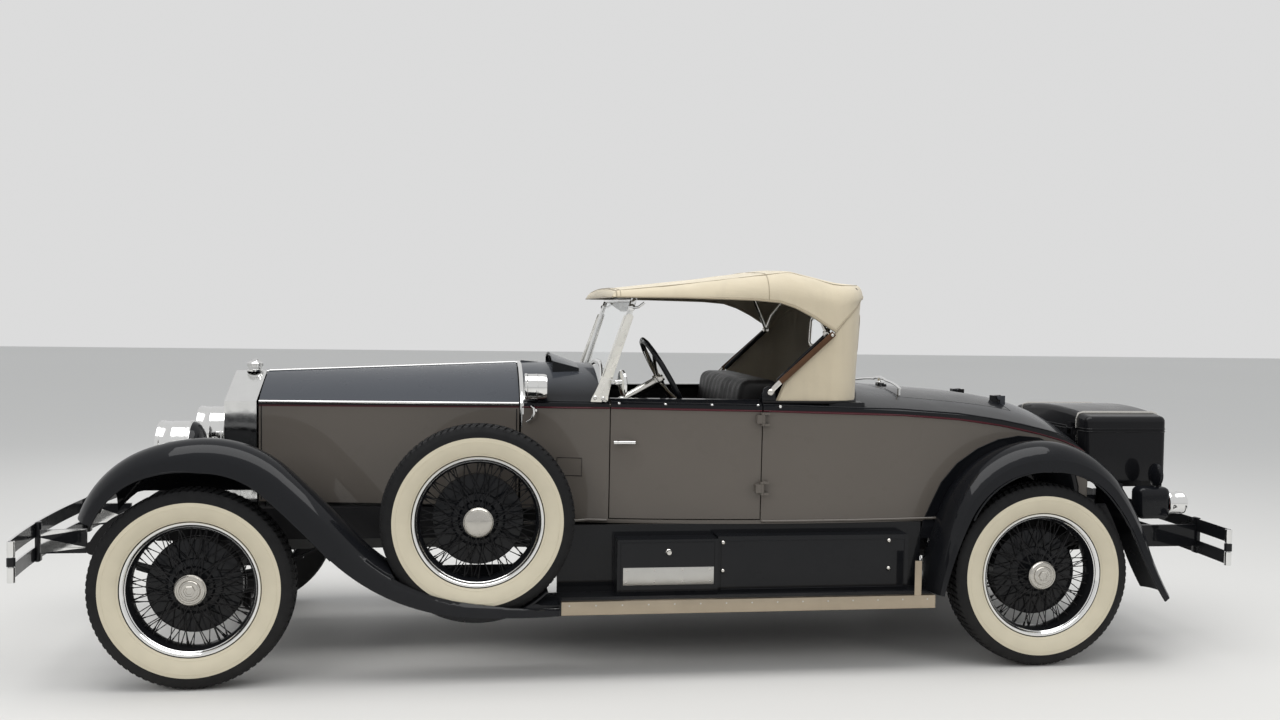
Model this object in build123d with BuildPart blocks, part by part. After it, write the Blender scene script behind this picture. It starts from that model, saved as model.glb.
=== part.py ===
# Vintage roadster, whole vehicle, in millimetres.
# X points forward, Y to the car's left and Z up. Z = 0 is the ground under the tyres.
import os
from math import cos, radians, sin, tan

from build123d import *

os.makedirs("parts", exist_ok=True)

# Overall lengths
front_overhang = 760
wheelbase = 3720
rear_overhang = 970
overall_length = front_overhang + wheelbase + rear_overhang
front_end_x = overall_length / 2
rear_end_x = -overall_length / 2
front_axle_x = front_end_x - front_overhang
rear_axle_x = front_axle_x - wheelbase

# Clearances
running_gap = 0.5
panel_gap = 5
pin_gap = 0.3
seat_gap = 0.3
rest_gap = 0.5

# Wheels and tyres
half_track = 724
tyre_radius = 419
tyre_width = 164
rim_radius = 270
rim_width = 112
rim_depth = 20
spoke_size = 5
hub_radius = 48
hub_cap_radius = 64
hub_cap_out = 92
hub_nut_radius = 26
wheel_z = tyre_radius

# Brakes and spindles
spindle_radius = 20
spindle_out = 20
drum_width = 52
drum_inset = 74
backplate_radius = 200
backplate_thick = 10
drum_inner_y = half_track - drum_inset

# Hinges
hinge_pin_radius = 5
hinge_barrel_radius = 10
hinge_arm = 30
hinge_span = 60

# Chassis frame
rail_height = 140
rail_width = 60
rail_top = 690
rail_front_y = 360
rail_rear_y = 480
rail_nose = 230
rail_tail = 560
iron_reach = 300
iron_width = 50
crossmember_size = 60
kick_length = 700
rail_bottom = rail_top - rail_height
rail_front_x = front_axle_x + rail_nose
rail_rear_x = rear_axle_x - rail_tail

# Springs and axles
spring_width = 55
leaf_thick = 9
front_leaves = 4
front_spring_half = 480
front_eye_z = 520
front_seat_z = 395
rear_leaves = 4
rear_spring_half = 520
rear_spring_y = 530
beam_size = 56
beam_drop = 70
kingpin_y = 592
kingpin_radius = 14
kingpin_eye_radius = 30
kingpin_eye_height = 70
knuckle_lug_height = 22
knuckle_web = 8
steering_arm_reach = 190
steering_arm_z = 320
steering_eye_radius = 20
steering_eye_height = 30
tie_rod_radius = 12
tie_pin_radius = 9
axle_tube_radius = 52
final_drive_radius = 160
torque_tube_radius = 48
torque_tube_length = 1500

# Radiator
radiator_setback = 40
radiator_depth = 140
radiator_eaves_y = 298
radiator_base_y = 272
radiator_eaves_z = 1163
radiator_ridge_z = 1287
radiator_base_z = 590
radiator_wall = 34
shutter_count = 15
shutter_thick = 10
cap_radius = 30
cap_height = 44
radiator_front_x = front_axle_x - radiator_setback
radiator_back_x = radiator_front_x - radiator_depth

# Bonnet
bonnet_length = 1185
bonnet_front_half = 288
bonnet_back_half = 455
bonnet_strip_front_z = radiator_eaves_z
bonnet_strip_back_z = 1170
bonnet_ridge_front_z = radiator_ridge_z
bonnet_ridge_back_z = 1337
bonnet_bottom_z = 705
bonnet_skin = 8
bonnet_gap = 9
bonnet_front_bulge = 12
bonnet_back_bulge = 36
bonnet_tuck = 12
ridge_rod_radius = 6
strip_rod_radius = 5
bonnet_back_x = radiator_back_x - bonnet_length
bonnet_front_x = radiator_back_x - bonnet_gap
bonnet_rear_x = bonnet_back_x + bonnet_gap
ridge_slope = (bonnet_ridge_back_z - bonnet_ridge_front_z) / (bonnet_front_x - bonnet_rear_x)

# Body
body_wall = 36
body_bottom_z = 640
belt_z = 1176
body_half = 640
cowl_length = 395
door_length = 677
door_bottom_z = 662
door_top_z = 1200
door_inner_y = 525
cockpit_half = 560
cockpit_back = 468
lid_setback = 5
lid_length = 560
lid_half = 400
tail_length = 385
door_front_x = bonnet_back_x - cowl_length
door_back_x = door_front_x - door_length
lid_back_x = rear_axle_x - lid_setback
lid_front_x = lid_back_x + lid_length
body_back_x = rear_axle_x - tail_length

# Windscreen
screen_setback = 48
screen_base_z = 1190
screen_rise = 468
screen_lean = 18
screen_half = 565
screen_frame = 24
post_width = 58
post_thick = 12
glass_thick = 6
screen_base_x = door_front_x + screen_setback

# Soft top
top_overhang = 95
top_half = 612
top_skin = 12
top_lip = 30
top_camber = 16
top_edge_z = 1652
top_base_z = 1175
top_rear_x = door_back_x - 603
top_rear_lean = 43
rear_window_half = 400
rear_window_z = 1500
rear_window_height = 165
bow_radius = 9
top_front_x = door_front_x + top_overhang

# Wings and running boards
wing_outer_y = 815
wing_inner_y = 560
wing_skin = 16
wing_drop = 130
wing_inner_drop = 42
board_setback = 1523
board_rear_gap = 515
board_top = 342
board_thick = 57
board_inner_y = 590
valance_y = 612
valance_thick = 16
board_front_x = front_axle_x - board_setback
board_back_x = rear_axle_x + board_rear_gap

# Spare wheels
spare_setback = 1174
spare_y = 698
spare_z = 683
well_wall = 8
spare_x = front_axle_x - spare_setback

# Seats
seat_half = 520
cushion_top_z = 900
seat_back_z = 1290

# Head lamps and cowl lamps
lamp_radius = 132
lamp_drum = 140
lamp_back = 195
lamp_y = 400
lamp_z = 953
lamp_reach = 208
cowl_lamp_radius = 60
cowl_lamp_length = 104
cowl_lamp_y = 500
cowl_lamp_z = 1248

# Trunk
trunk_setback = 410
trunk_length = 425
trunk_half = 395
trunk_bottom_z = 790
trunk_seam_z = 1040
trunk_skirt = 66
trunk_crown = 100
trunk_wall = 12
rack_half = 315
trunk_front_x = rear_axle_x - trunk_setback
trunk_back_x = trunk_front_x - trunk_length


def save(name, part):
    part.label = name
    export_step(part, f"parts/{name}.step")


def box(x0, x1, y0, y1, z0, z1):
    with BuildPart() as piece:
        with Locations(((x0 + x1) / 2, (y0 + y1) / 2, (z0 + z1) / 2)):
            Box(abs(x1 - x0), abs(y1 - y0), abs(z1 - z0))
    return piece.part


def rod(start, end, radius):
    start, end = Vector(*start), Vector(*end)
    with BuildPart() as piece:
        with BuildSketch(Plane(start, z_dir=end - start)):
            Circle(radius)
        extrude(amount=(end - start).length)
    return piece.part


def side_plate(points, y0, y1):
    """A plate whose outline in X and Z is a closed polygon."""
    with BuildPart() as piece:
        with BuildSketch(Plane.XZ.offset(-y0)):
            with BuildLine():
                Polyline(*points, close=True)
            make_face()
        extrude(amount=-(y1 - y0))
    return piece.part


def both_sides(part):
    with BuildPart() as pair:
        add(part)
        mirror(about=Plane.XZ)
    return pair.part


def mirrored(part):
    with BuildPart() as other:
        mirror(part, about=Plane.XZ)
    return other.part


def joined(*pieces):
    with BuildPart() as whole:
        for piece in pieces:
            add(piece)
    return whole.part


def hinge_leaves(plane, reach, span):
    """The fixed and the moving leaf of an outside hinge. The plane's z runs along the pin,
    its x over the moving panel and its y away from both panels."""
    pin, barrel, arm = hinge_pin_radius, hinge_barrel_radius, hinge_arm
    lug = span / 6
    with BuildPart() as fixed:
        Cylinder(pin, span)
        for end in (-1, 1):
            with Locations((0, 0, end * (span - lug) / 2)):
                Cylinder(barrel, lug)
            with Locations((-(arm + pin) / 2, (barrel - reach) / 2, end * (span - lug) / 2)):
                Box(arm - pin, reach + barrel, lug)
    with BuildPart() as moving:
        middle = span - 2 * lug - 4 * running_gap
        Cylinder(barrel, middle)
        with Locations(((arm + pin) / 2, (barrel - reach) / 2, 0)):
            Box(arm - pin, reach + barrel, middle)
        Cylinder(pin + pin_gap, span, mode=Mode.SUBTRACT)
    return plane.location * fixed.part, plane.location * moving.part


# Chassis rail: straight under the bonnet, spread behind it, with a dumb iron at its nose
def rail():
    half = rail_width / 2
    kick_x = bonnet_back_x - kick_length
    tip_x = rail_front_x + iron_reach
    hip_x = rail_front_x + iron_reach * 0.55
    root_x = rail_front_x - 5
    with BuildPart() as piece:
        with BuildSketch(Plane.XY.offset(rail_bottom)):
            with BuildLine():
                Polyline(
                    (rail_front_x, rail_front_y - half),
                    (rail_front_x, rail_front_y + half),
                    (bonnet_back_x, rail_front_y + half),
                    (kick_x, rail_rear_y + half),
                    (rail_rear_x, rail_rear_y + half),
                    (rail_rear_x, rail_rear_y - half),
                    (kick_x, rail_rear_y - half),
                    (bonnet_back_x, rail_front_y - half),
                    close=True,
                )
            make_face()
        extrude(amount=rail_height)
        with BuildSketch(Plane.XZ.offset(-(rail_front_y + iron_width / 2))):
            with BuildLine():
                lower_tip = (tip_x - 30, front_eye_z - 30)
                upper_tip = (tip_x - 20, front_eye_z + 30)
                Line((root_x, rail_top), (root_x, rail_bottom))
                ThreePointArc((root_x, rail_bottom), (hip_x, rail_bottom - 15), lower_tip)
                ThreePointArc(lower_tip, (tip_x, front_eye_z), upper_tip)
                ThreePointArc(upper_tip, (hip_x, rail_top - 25), (root_x, rail_top))
            make_face()
        extrude(amount=iron_width)
    return piece.part


# Frame with its cross members, the radiator's carrier, the luggage rack and the fuel tank
rack_bar = 35
with BuildPart() as fuel_tank:
    tank_front_x = rail_rear_x + 325
    add(box(rail_rear_x + 75, tank_front_x, -rail_front_y, rail_front_y, rail_bottom - 80, rail_top - 10))
    fillet(fuel_tank.edges().filter_by(Axis.Y), 40)
    strap_y = rail_rear_y - rail_width / 2
    add(box(rail_rear_x + 150, rail_rear_x + 200, -strap_y, strap_y, rail_bottom + 50, rail_bottom + 90))

with BuildPart() as chassis_frame:
    add(both_sides(rail()))
    crossmembers = [
        (rail_front_x - 60, rail_front_y),
        (front_axle_x - 520, rail_front_y),
        (bonnet_back_x - 40, rail_front_y),
        (door_back_x + 122, rail_rear_y),
        (rear_axle_x + 605, rail_rear_y),
        (rail_rear_x + 40, rail_rear_y),
    ]
    half_member = crossmember_size / 2
    member_z = rail_bottom + 10
    for cross_x, reach in crossmembers:
        add(box(cross_x - half_member, cross_x + half_member, -reach, reach, member_z, member_z + crossmember_size))
    carrier_top = radiator_base_z - 25
    add(box(radiator_back_x, radiator_front_x, -rail_front_y, rail_front_y, rail_bottom + 5, carrier_top))
    for side in (-1, 1):
        rack_y = side * rack_half
        rack_low = trunk_bottom_z - rack_bar
        add(box(trunk_back_x - 20, rail_rear_x + 20, rack_y - 15, rack_y + 15, rack_low, trunk_bottom_z))
        add(box(rail_rear_x, rail_rear_x + 40, rack_y - side * 15, side * rail_rear_y, rail_top - 60, trunk_bottom_z))
    add(box(trunk_back_x - 20, trunk_back_x + 15, -rack_half, rack_half, trunk_bottom_z - rack_bar, trunk_bottom_z))
    add(fuel_tank.part)
save("chassis_frame", chassis_frame.part)


# A pack of bent leaves
def leaf_pack(centre_x, half_length, eye_z, seat_z, y, leaves):
    with BuildPart() as pack:
        for leaf in range(leaves):
            reach = half_length * (1 - 0.17 * leaf)
            top = seat_z - leaf * leaf_thick
            rise = (eye_z - seat_z) * (reach / half_length) ** 2
            thick = leaf_thick + 0.5
            ends = (centre_x - reach, centre_x + reach)
            with BuildSketch(Plane.XZ.offset(-(y + spring_width / 2))):
                with BuildLine():
                    ThreePointArc((ends[1], top + rise), (centre_x, top), (ends[0], top + rise))
                    Line((ends[0], top + rise), (ends[0], top + rise - thick))
                    ThreePointArc((ends[0], top + rise - thick), (centre_x, top - thick), (ends[1], top + rise - thick))
                    Line((ends[1], top + rise - thick), (ends[1], top + rise))
                make_face()
            extrude(amount=spring_width)
    return pack.part


# Front springs with their rear shackles
spring_rear_x = front_axle_x - front_spring_half
with BuildPart() as front_springs:
    for side in (-1, 1):
        spring_y = side * rail_front_y
        half = spring_width / 2
        add(leaf_pack(front_axle_x, front_spring_half, front_eye_z, front_seat_z, spring_y, front_leaves))
        add(box(spring_rear_x - 12, spring_rear_x + 30, spring_y - half, spring_y + half, front_eye_z - 22, rail_bottom))
    add(chassis_frame.part, mode=Mode.SUBTRACT)

# Front axle: a dropped beam whose eyes hold the kingpins
beam_top = front_seat_z - front_leaves * leaf_thick + 1
with BuildPart() as front_axle:
    eye_top = wheel_z + kingpin_eye_height / 2
    eye_low = wheel_z - kingpin_eye_height / 2
    with BuildSketch(Plane.YZ.offset(front_axle_x - beam_size / 2)):
        with BuildLine():
            upper = [(kingpin_y, eye_top), (kingpin_y - 60, eye_top), (rail_front_y + 70, beam_top)]
            lower = [(rail_front_y + 50, beam_top - beam_drop), (kingpin_y - 50, eye_low), (kingpin_y, eye_low)]
            right = [(-y, z) for y, z in upper + lower]
            Polyline(*upper, *right[2::-1], *right[:2:-1], *lower, close=True)
        make_face()
    extrude(amount=beam_size)
    with Locations((front_axle_x, kingpin_y, wheel_z), (front_axle_x, -kingpin_y, wheel_z)):
        Cylinder(kingpin_eye_radius, kingpin_eye_height)
    with Locations((front_axle_x, kingpin_y, wheel_z), (front_axle_x, -kingpin_y, wheel_z)):
        Cylinder(kingpin_radius + running_gap, kingpin_eye_height, mode=Mode.SUBTRACT)
    add(front_springs.part)
save("front_axle", front_axle.part)


# Steering knuckle: a yoke over the axle's eye, its pin, the stub axle, the back plate and the arm
def knuckle():
    web_y = kingpin_y + kingpin_eye_radius + knuckle_web
    lug_z = kingpin_eye_height / 2 + running_gap
    yoke_z = lug_z + knuckle_lug_height
    arm_x = front_axle_x - steering_arm_reach
    lug_middle = steering_arm_z + steering_eye_height / 2 + running_gap + knuckle_lug_height / 2
    with BuildPart() as piece:
        for side in (-1, 1):
            middle = wheel_z + side * (lug_z + knuckle_lug_height / 2)
            with Locations((front_axle_x, kingpin_y, middle)):
                Cylinder(kingpin_eye_radius, knuckle_lug_height)
            with Locations((front_axle_x, (kingpin_y + web_y) / 2, middle)):
                Box(2 * kingpin_eye_radius, web_y - kingpin_y, knuckle_lug_height)
        with Locations((front_axle_x, kingpin_y, wheel_z)):
            Cylinder(kingpin_radius, 2 * yoke_z)
        with Locations((front_axle_x, (web_y + drum_inner_y) / 2 - backplate_thick / 2, wheel_z)):
            Box(2 * kingpin_eye_radius, drum_inner_y - backplate_thick - web_y, 2 * yoke_z)
        add(rod((front_axle_x, web_y, wheel_z), (front_axle_x, half_track + spindle_out, wheel_z), spindle_radius))
        plate_start = (front_axle_x, drum_inner_y - backplate_thick, wheel_z)
        add(rod(plate_start, (front_axle_x, drum_inner_y, wheel_z), backplate_radius))
        add(rod((front_axle_x - 10, kingpin_y, wheel_z - yoke_z + 8), (arm_x, kingpin_y, lug_middle), 12))
        with Locations((arm_x, kingpin_y, lug_middle)):
            Cylinder(steering_eye_radius, knuckle_lug_height)
        with Locations((arm_x, kingpin_y, steering_arm_z)):
            Cylinder(tie_pin_radius, 2 * (lug_middle - steering_arm_z))
    return piece.part


knuckle_left = knuckle()
save("knuckle_left", knuckle_left)
save("knuckle_right", mirrored(knuckle_left))

# Tie rod between the steering arms, with an eye at each end
with BuildPart() as tie_rod:
    tie_x = front_axle_x - steering_arm_reach
    add(rod((tie_x, -kingpin_y, steering_arm_z), (tie_x, kingpin_y, steering_arm_z), tie_rod_radius))
    with Locations((tie_x, kingpin_y, steering_arm_z), (tie_x, -kingpin_y, steering_arm_z)):
        Cylinder(steering_eye_radius, steering_eye_height)
    with Locations((tie_x, kingpin_y, steering_arm_z), (tie_x, -kingpin_y, steering_arm_z)):
        Cylinder(tie_pin_radius + running_gap, steering_eye_height, mode=Mode.SUBTRACT)
save("tie_rod", tie_rod.part)

# Rear axle with its final drive, torque tube and springs
rear_seat_z = wheel_z + axle_tube_radius + rear_leaves * leaf_thick - 2
with BuildPart() as rear_axle:
    add(rod((rear_axle_x, -drum_inner_y, wheel_z), (rear_axle_x, drum_inner_y, wheel_z), axle_tube_radius))
    with Locations((rear_axle_x, 0, wheel_z)):
        Sphere(final_drive_radius)
    tube_end = (rear_axle_x + torque_tube_length, 0, wheel_z + 60)
    add(rod((rear_axle_x, 0, wheel_z), tube_end, torque_tube_radius))
    for side in (-1, 1):
        plate_start = (rear_axle_x, side * (drum_inner_y - backplate_thick), wheel_z)
        plate_end = (rear_axle_x, side * drum_inner_y, wheel_z)
        add(rod(plate_start, plate_end, backplate_radius))
        add(rod(plate_end, (rear_axle_x, side * (half_track + spindle_out), wheel_z), spindle_radius))
        spring_y = side * rear_spring_y
        add(leaf_pack(rear_axle_x, rear_spring_half, rail_bottom - 12, rear_seat_z, spring_y, rear_leaves))
        for end in (-1, 1):
            eye_x = rear_axle_x + end * (rear_spring_half - 25)
            outer_y = side * (rear_spring_y + spring_width / 2)
            add(box(eye_x - 20, eye_x + 20, side * rail_rear_y, outer_y, rail_bottom - 20, rail_bottom))
save("rear_axle", rear_axle.part)


# Wire wheel about its own centre: rim, brake drum, hub, cap and two rows of laced spokes
def wheel_form():
    half = rim_width / 2
    well = rim_radius - rim_depth
    wall = 12
    drum_start = -(drum_inset - 4)
    drum_end = drum_start + drum_width
    bore = spindle_radius + running_gap
    # row: radius and Y at the hub, Y at the rim, lacing angle, count
    spoke_rows = [
        (hub_radius - 6, 50, 8, 30, 24),
        (hub_radius + 4, drum_end + 10, -10, 24, 32),
    ]
    with BuildPart() as piece:
        with BuildSketch(Plane.XY):
            with BuildLine():
                outline = [(rim_radius, half), (rim_radius, half - wall), (well, half - 22)]
                inside = [(well - wall, half - 26), (rim_radius - wall, half)]
                lower = [(x, -y) for x, y in outline]
                Polyline(*outline, *lower[::-1], (rim_radius - wall, -half), (well - wall, 26 - half), *inside, close=True)
            make_face()
        revolve(axis=Axis.Y)
        with BuildSketch(Plane.XY):
            with BuildLine():
                Polyline(
                    (bore, drum_start),
                    (backplate_radius - 4, drum_start),
                    (backplate_radius - 4, drum_end),
                    (hub_radius + 12, drum_end),
                    (hub_radius, drum_end + 28),
                    (hub_radius, hub_cap_out - 32),
                    (hub_cap_radius, hub_cap_out - 30),
                    (hub_cap_radius, hub_cap_out - 14),
                    (hub_nut_radius + 8, hub_cap_out - 6),
                    (0, hub_cap_out - 6),
                    (0, spindle_out + 4),
                    (bore, spindle_out + 4),
                    close=True,
                )
            make_face()
        revolve(axis=Axis.Y)
        with BuildSketch(Plane.XZ.offset(-hub_cap_out)):
            RegularPolygon(hub_nut_radius, 6)
        extrude(amount=8)
        for hub_r, hub_y, rim_y, lace, count in spoke_rows:
            for index in range(count):
                turn = 360 / count * index
                start = Vector(hub_r, hub_y, 0).rotate(Axis.Y, turn)
                end = Vector(well - wall / 2, rim_y, 0).rotate(Axis.Y, turn + (lace if index % 2 else -lace))
                with BuildSketch(Plane(start, z_dir=end - start)):
                    Rectangle(spoke_size, spoke_size)
                extrude(amount=(end - start).length)
    return piece.part


# Tyre: rounded walls, a shoulder on each side and a slightly crowned tread
def tyre_form():
    bead = rim_radius + seat_gap
    half = tyre_width / 2
    shoulder = (tyre_radius - 9, half - 17)
    wall_top = (tyre_radius - 28, half - 6)
    with BuildPart() as piece:
        with BuildSketch(Plane.XY):
            with BuildLine():
                Line((bead, -rim_width / 2), (bead, rim_width / 2))
                ThreePointArc((bead, rim_width / 2), (bead + 66, half - 1.5), wall_top)
                Line(wall_top, shoulder)
                ThreePointArc(shoulder, (tyre_radius, 0), (shoulder[0], -shoulder[1]))
                Line((shoulder[0], -shoulder[1]), (wall_top[0], -wall_top[1]))
                ThreePointArc((wall_top[0], -wall_top[1]), (bead + 66, 1.5 - half), (bead, -rim_width / 2))
            make_face()
        revolve(axis=Axis.Y)
    return piece.part


wheel_left = wheel_form()
wheel_right = mirrored(wheel_left)
tyre = tyre_form()
# corner, X of its axle, side
corners = [
    ("front_left", front_axle_x, 1),
    ("front_right", front_axle_x, -1),
    ("rear_left", rear_axle_x, 1),
    ("rear_right", rear_axle_x, -1),
]
for corner, axle_x, side in corners:
    place = Pos(axle_x, side * half_track, wheel_z)
    save(f"wheel_{corner}", place * (wheel_left if side > 0 else wheel_right))
    save(f"tyre_{corner}", place * tyre)

spare_place = Pos(spare_x, spare_y, spare_z)
spare_place_right = Pos(spare_x, -spare_y, spare_z)
save("spare_wheels", joined(spare_place * wheel_left, spare_place_right * wheel_right))
save("spare_tyres", joined(spare_place * tyre, spare_place_right * tyre))

# Engine with its sump and gearbox as one plain mass, and the exhaust under the right side
engine_half = 150
gearbox_back_x = bonnet_back_x - 550
pipe_y = -220
pipe_z = rail_bottom - 80
with BuildPart() as engine:
    block_back_x = bonnet_back_x + 150
    add(box(block_back_x, radiator_back_x - 120, -engine_half, engine_half, rail_bottom - 90, bonnet_strip_back_z - 90))
    add(box(gearbox_back_x, block_back_x, 20 - engine_half, engine_half - 20, rail_bottom - 60, rail_top))
    for side in (-1, 1):
        inner_y = side * (rail_front_y - rail_width / 2)
        add(box(block_back_x + 150, block_back_x + 230, side * 140, inner_y, rail_bottom + 30, rail_bottom + 90))
    silencer_front_x = gearbox_back_x - 200
    tail_y = pipe_y - 185
    tail_z = pipe_z + 45
    add(rod((block_back_x + 200, 0, pipe_z), (block_back_x + 200, pipe_y - 30, pipe_z), 30))
    add(rod((block_back_x + 200, pipe_y, pipe_z), (silencer_front_x, pipe_y, pipe_z), 25))
    add(rod((silencer_front_x, pipe_y, pipe_z), (silencer_front_x - 650, pipe_y, pipe_z), 80))
    add(rod((silencer_front_x - 650, pipe_y, pipe_z), (rear_axle_x + 605, tail_y, tail_z), 22))
    add(rod((rear_axle_x + 615, tail_y, tail_z), (rail_rear_x - 40, tail_y, tail_z), 22))
    for hanger_x, hanger_y in ((silencer_front_x - 180, pipe_y), (rail_rear_x + 40, tail_y)):
        add(box(hanger_x - 10, hanger_x + 10, hanger_y - 10, hanger_y + 10, tail_z, rail_bottom + 10))
    add(chassis_frame.part, mode=Mode.SUBTRACT)
save("engine", engine.part)


# Radiator shell with a pitched top and a plain cap, and the shutters in its opening
def radiator_outline(inset):
    return [
        (-radiator_base_y + inset, radiator_base_z + inset),
        (-radiator_eaves_y + inset, radiator_eaves_z - inset / 3),
        (0, radiator_ridge_z - inset * 1.15),
        (radiator_eaves_y - inset, radiator_eaves_z - inset / 3),
        (radiator_base_y - inset, radiator_base_z + inset),
    ]


rod_drop = bonnet_skin / 2
with BuildPart() as radiator_shell:
    with BuildSketch(Plane.YZ.offset(radiator_back_x)):
        with BuildLine():
            Polyline(*radiator_outline(0), close=True)
        make_face()
        with BuildLine():
            Polyline(*radiator_outline(radiator_wall), close=True)
        make_face(mode=Mode.SUBTRACT)
    extrude(amount=radiator_depth)
    with Locations((radiator_front_x - 84, 0, radiator_ridge_z + cap_height / 2 - 4)):
        Cylinder(cap_radius, cap_height)
    with Locations((radiator_front_x - 84, 0, radiator_ridge_z + cap_height)):
        Cylinder(cap_radius * 0.6, 16)
    foot_y = radiator_base_y - 30
    foot_z = radiator_base_z - 25 + seat_gap
    add(box(radiator_back_x, radiator_front_x, -foot_y, foot_y, foot_z, radiator_base_z + 10))
    ridge_start = (radiator_back_x, 0, bonnet_ridge_front_z - rod_drop - ridge_slope * bonnet_gap)
    ridge_end = (bonnet_back_x, 0, bonnet_ridge_back_z - rod_drop + ridge_slope * bonnet_gap)
    add(rod(ridge_start, ridge_end, ridge_rod_radius))
save("radiator_shell", radiator_shell.part)

with BuildPart() as radiator_shutters:
    with BuildSketch(Plane.YZ.offset(radiator_back_x + 10)):
        with BuildLine():
            Polyline(*radiator_outline(radiator_wall + seat_gap), close=True)
        make_face()
    extrude(amount=radiator_depth / 2)
    shutter_pitch = 2 * (radiator_base_y - radiator_wall - 12) / shutter_count
    shutter_low = radiator_base_z + radiator_wall + 6
    for index in range(shutter_count):
        low_y = (index - (shutter_count - 1) / 2) * shutter_pitch - shutter_thick / 2
        high_y = low_y + shutter_thick
        add(box(radiator_back_x + 75, radiator_front_x - 14, low_y, high_y, shutter_low, radiator_eaves_z - 10))
save("radiator_shutters", radiator_shutters.part)

# Bonnet: two top panels hinged along the ridge and two side panels hinged along the strips
centre_gap = ridge_rod_radius + pin_gap
strip_axis_drop = strip_rod_radius - 1
strip_drop = strip_axis_drop + strip_rod_radius + pin_gap


def bonnet_top_section(x, half, strip_z, ridge_z, bulge):
    mean_y, mean_z = (half + centre_gap) / 2, (strip_z + ridge_z) / 2 + bulge
    edge = half - bonnet_skin
    with BuildSketch(Plane.YZ.offset(x)) as section:
        with BuildLine():
            ThreePointArc((centre_gap, ridge_z), (mean_y, mean_z), (half, strip_z))
            Line((half, strip_z), (edge, strip_z))
            ThreePointArc((edge, strip_z), (mean_y - 2, mean_z - bonnet_skin), (centre_gap, ridge_z - bonnet_skin))
            Line((centre_gap, ridge_z - bonnet_skin), (centre_gap, ridge_z))
        make_face()
    return section.sketch


def bonnet_side_section(x, half, strip_z):
    foot = half - bonnet_tuck
    top_z = strip_z - strip_drop
    with BuildSketch(Plane.YZ.offset(x)) as section:
        with BuildLine():
            inner = [(foot - bonnet_skin, bonnet_bottom_z), (half - bonnet_skin, top_z)]
            Polyline((half, top_z), (foot, bonnet_bottom_z), *inner, close=True)
        make_face()
    return section.sketch


with BuildPart() as bonnet_top_left:
    add(bonnet_top_section(
        bonnet_front_x, bonnet_front_half, bonnet_strip_front_z, bonnet_ridge_front_z, bonnet_front_bulge
    ))
    add(bonnet_top_section(
        bonnet_rear_x, bonnet_back_half, bonnet_strip_back_z, bonnet_ridge_back_z, bonnet_back_bulge
    ))
    loft()
    strip_inset = bonnet_skin / 2
    strip_start = (bonnet_front_x, bonnet_front_half - strip_inset, bonnet_strip_front_z - strip_axis_drop)
    strip_end = (bonnet_rear_x, bonnet_back_half - strip_inset, bonnet_strip_back_z - strip_axis_drop)
    add(rod(strip_start, strip_end, strip_rod_radius))
save("bonnet_top_left", bonnet_top_left.part)
save("bonnet_top_right", mirrored(bonnet_top_left.part))

with BuildPart() as bonnet_side_left:
    add(bonnet_side_section(bonnet_front_x, bonnet_front_half, bonnet_strip_front_z))
    add(bonnet_side_section(bonnet_rear_x, bonnet_back_half, bonnet_strip_back_z))
    loft()
save("bonnet_side_left", bonnet_side_left.part)
save("bonnet_side_right", mirrored(bonnet_side_left.part))

# Body: one form lofted through stations, hollowed and split into its panels.
# station x, belt half width, sill half width, belt z, crown z
body_stations = [
    (bonnet_back_x, bonnet_back_half, 443, bonnet_strip_back_z, bonnet_ridge_back_z),
    (door_front_x, 576, 560, 1178, 1334),
    (door_back_x + 122, body_half, 622, belt_z, 1310),
    (lid_front_x, 618, 600, 1150, 1236),
    (lid_back_x, 558, 540, 1088, 1186),
    (body_back_x + 120, 510, 495, 1003, 1098),
    (body_back_x, 470, 455, 925, 1000),
]


def body_section(x, belt_y, sill_y, belt, crown, inset):
    belt_y, sill_y = belt_y - inset, sill_y - inset
    crown = crown - inset * 0.6
    belt = min(belt, crown - 30)
    bottom = body_bottom_z - 30 if inset > 0 else body_bottom_z
    shoulder = (belt_y * 0.62, belt + (crown - belt) * 0.66)
    with BuildSketch(Plane.YZ.offset(x)) as section:
        with BuildLine():
            Polyline((-belt_y, belt), (-sill_y, bottom), (sill_y, bottom), (belt_y, belt))
            ThreePointArc((belt_y, belt), shoulder, (0, crown))
            ThreePointArc((0, crown), (-shoulder[0], shoulder[1]), (-belt_y, belt))
        make_face()
    return section.sketch


def body_form(inset, stations):
    with BuildPart() as form:
        for station in stations:
            add(body_section(*station, inset))
        loft()
    return form.part


frame_y = rail_rear_y + rail_width / 2 + seat_gap
frame_space = box(rail_rear_x - 100, bonnet_back_x + 10, -frame_y, frame_y, rail_bottom, rail_top + seat_gap)
with BuildPart() as body_whole:
    add(body_form(0, body_stations))
    add(frame_space, mode=Mode.SUBTRACT)
body_outer = body_whole.part
inner_stations = [(body_back_x + body_wall, *body_stations[-1][1:])]
body_inner = body_form(body_wall, body_stations[:-1] + inner_stations)

# Outside hinges of the doors and the rumble lid
door_hinge_y = 655
door_hinge_heights = (1117, 805)
door_hinge_reach = 38
lid_hinge_z = 1192
lid_hinge_y = 250
lid_hinge_reach = 34
door_hinge_x = door_back_x - panel_gap / 2
lid_hinge_x = lid_back_x - panel_gap / 2
door_leaves = []
for height in door_hinge_heights:
    door_pin = Plane(origin=(door_hinge_x, door_hinge_y, height), x_dir=(1, 0, 0), z_dir=(0, 0, 1))
    door_leaves.append(hinge_leaves(door_pin, door_hinge_reach, hinge_span))
lid_leaves = []
for side in (-1, 1):
    lid_pin = Plane(origin=(lid_hinge_x, side * lid_hinge_y, lid_hinge_z), x_dir=(1, 0, 0), z_dir=(0, -1, 0))
    lid_leaves.append(hinge_leaves(lid_pin, lid_hinge_reach, hinge_span))

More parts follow.
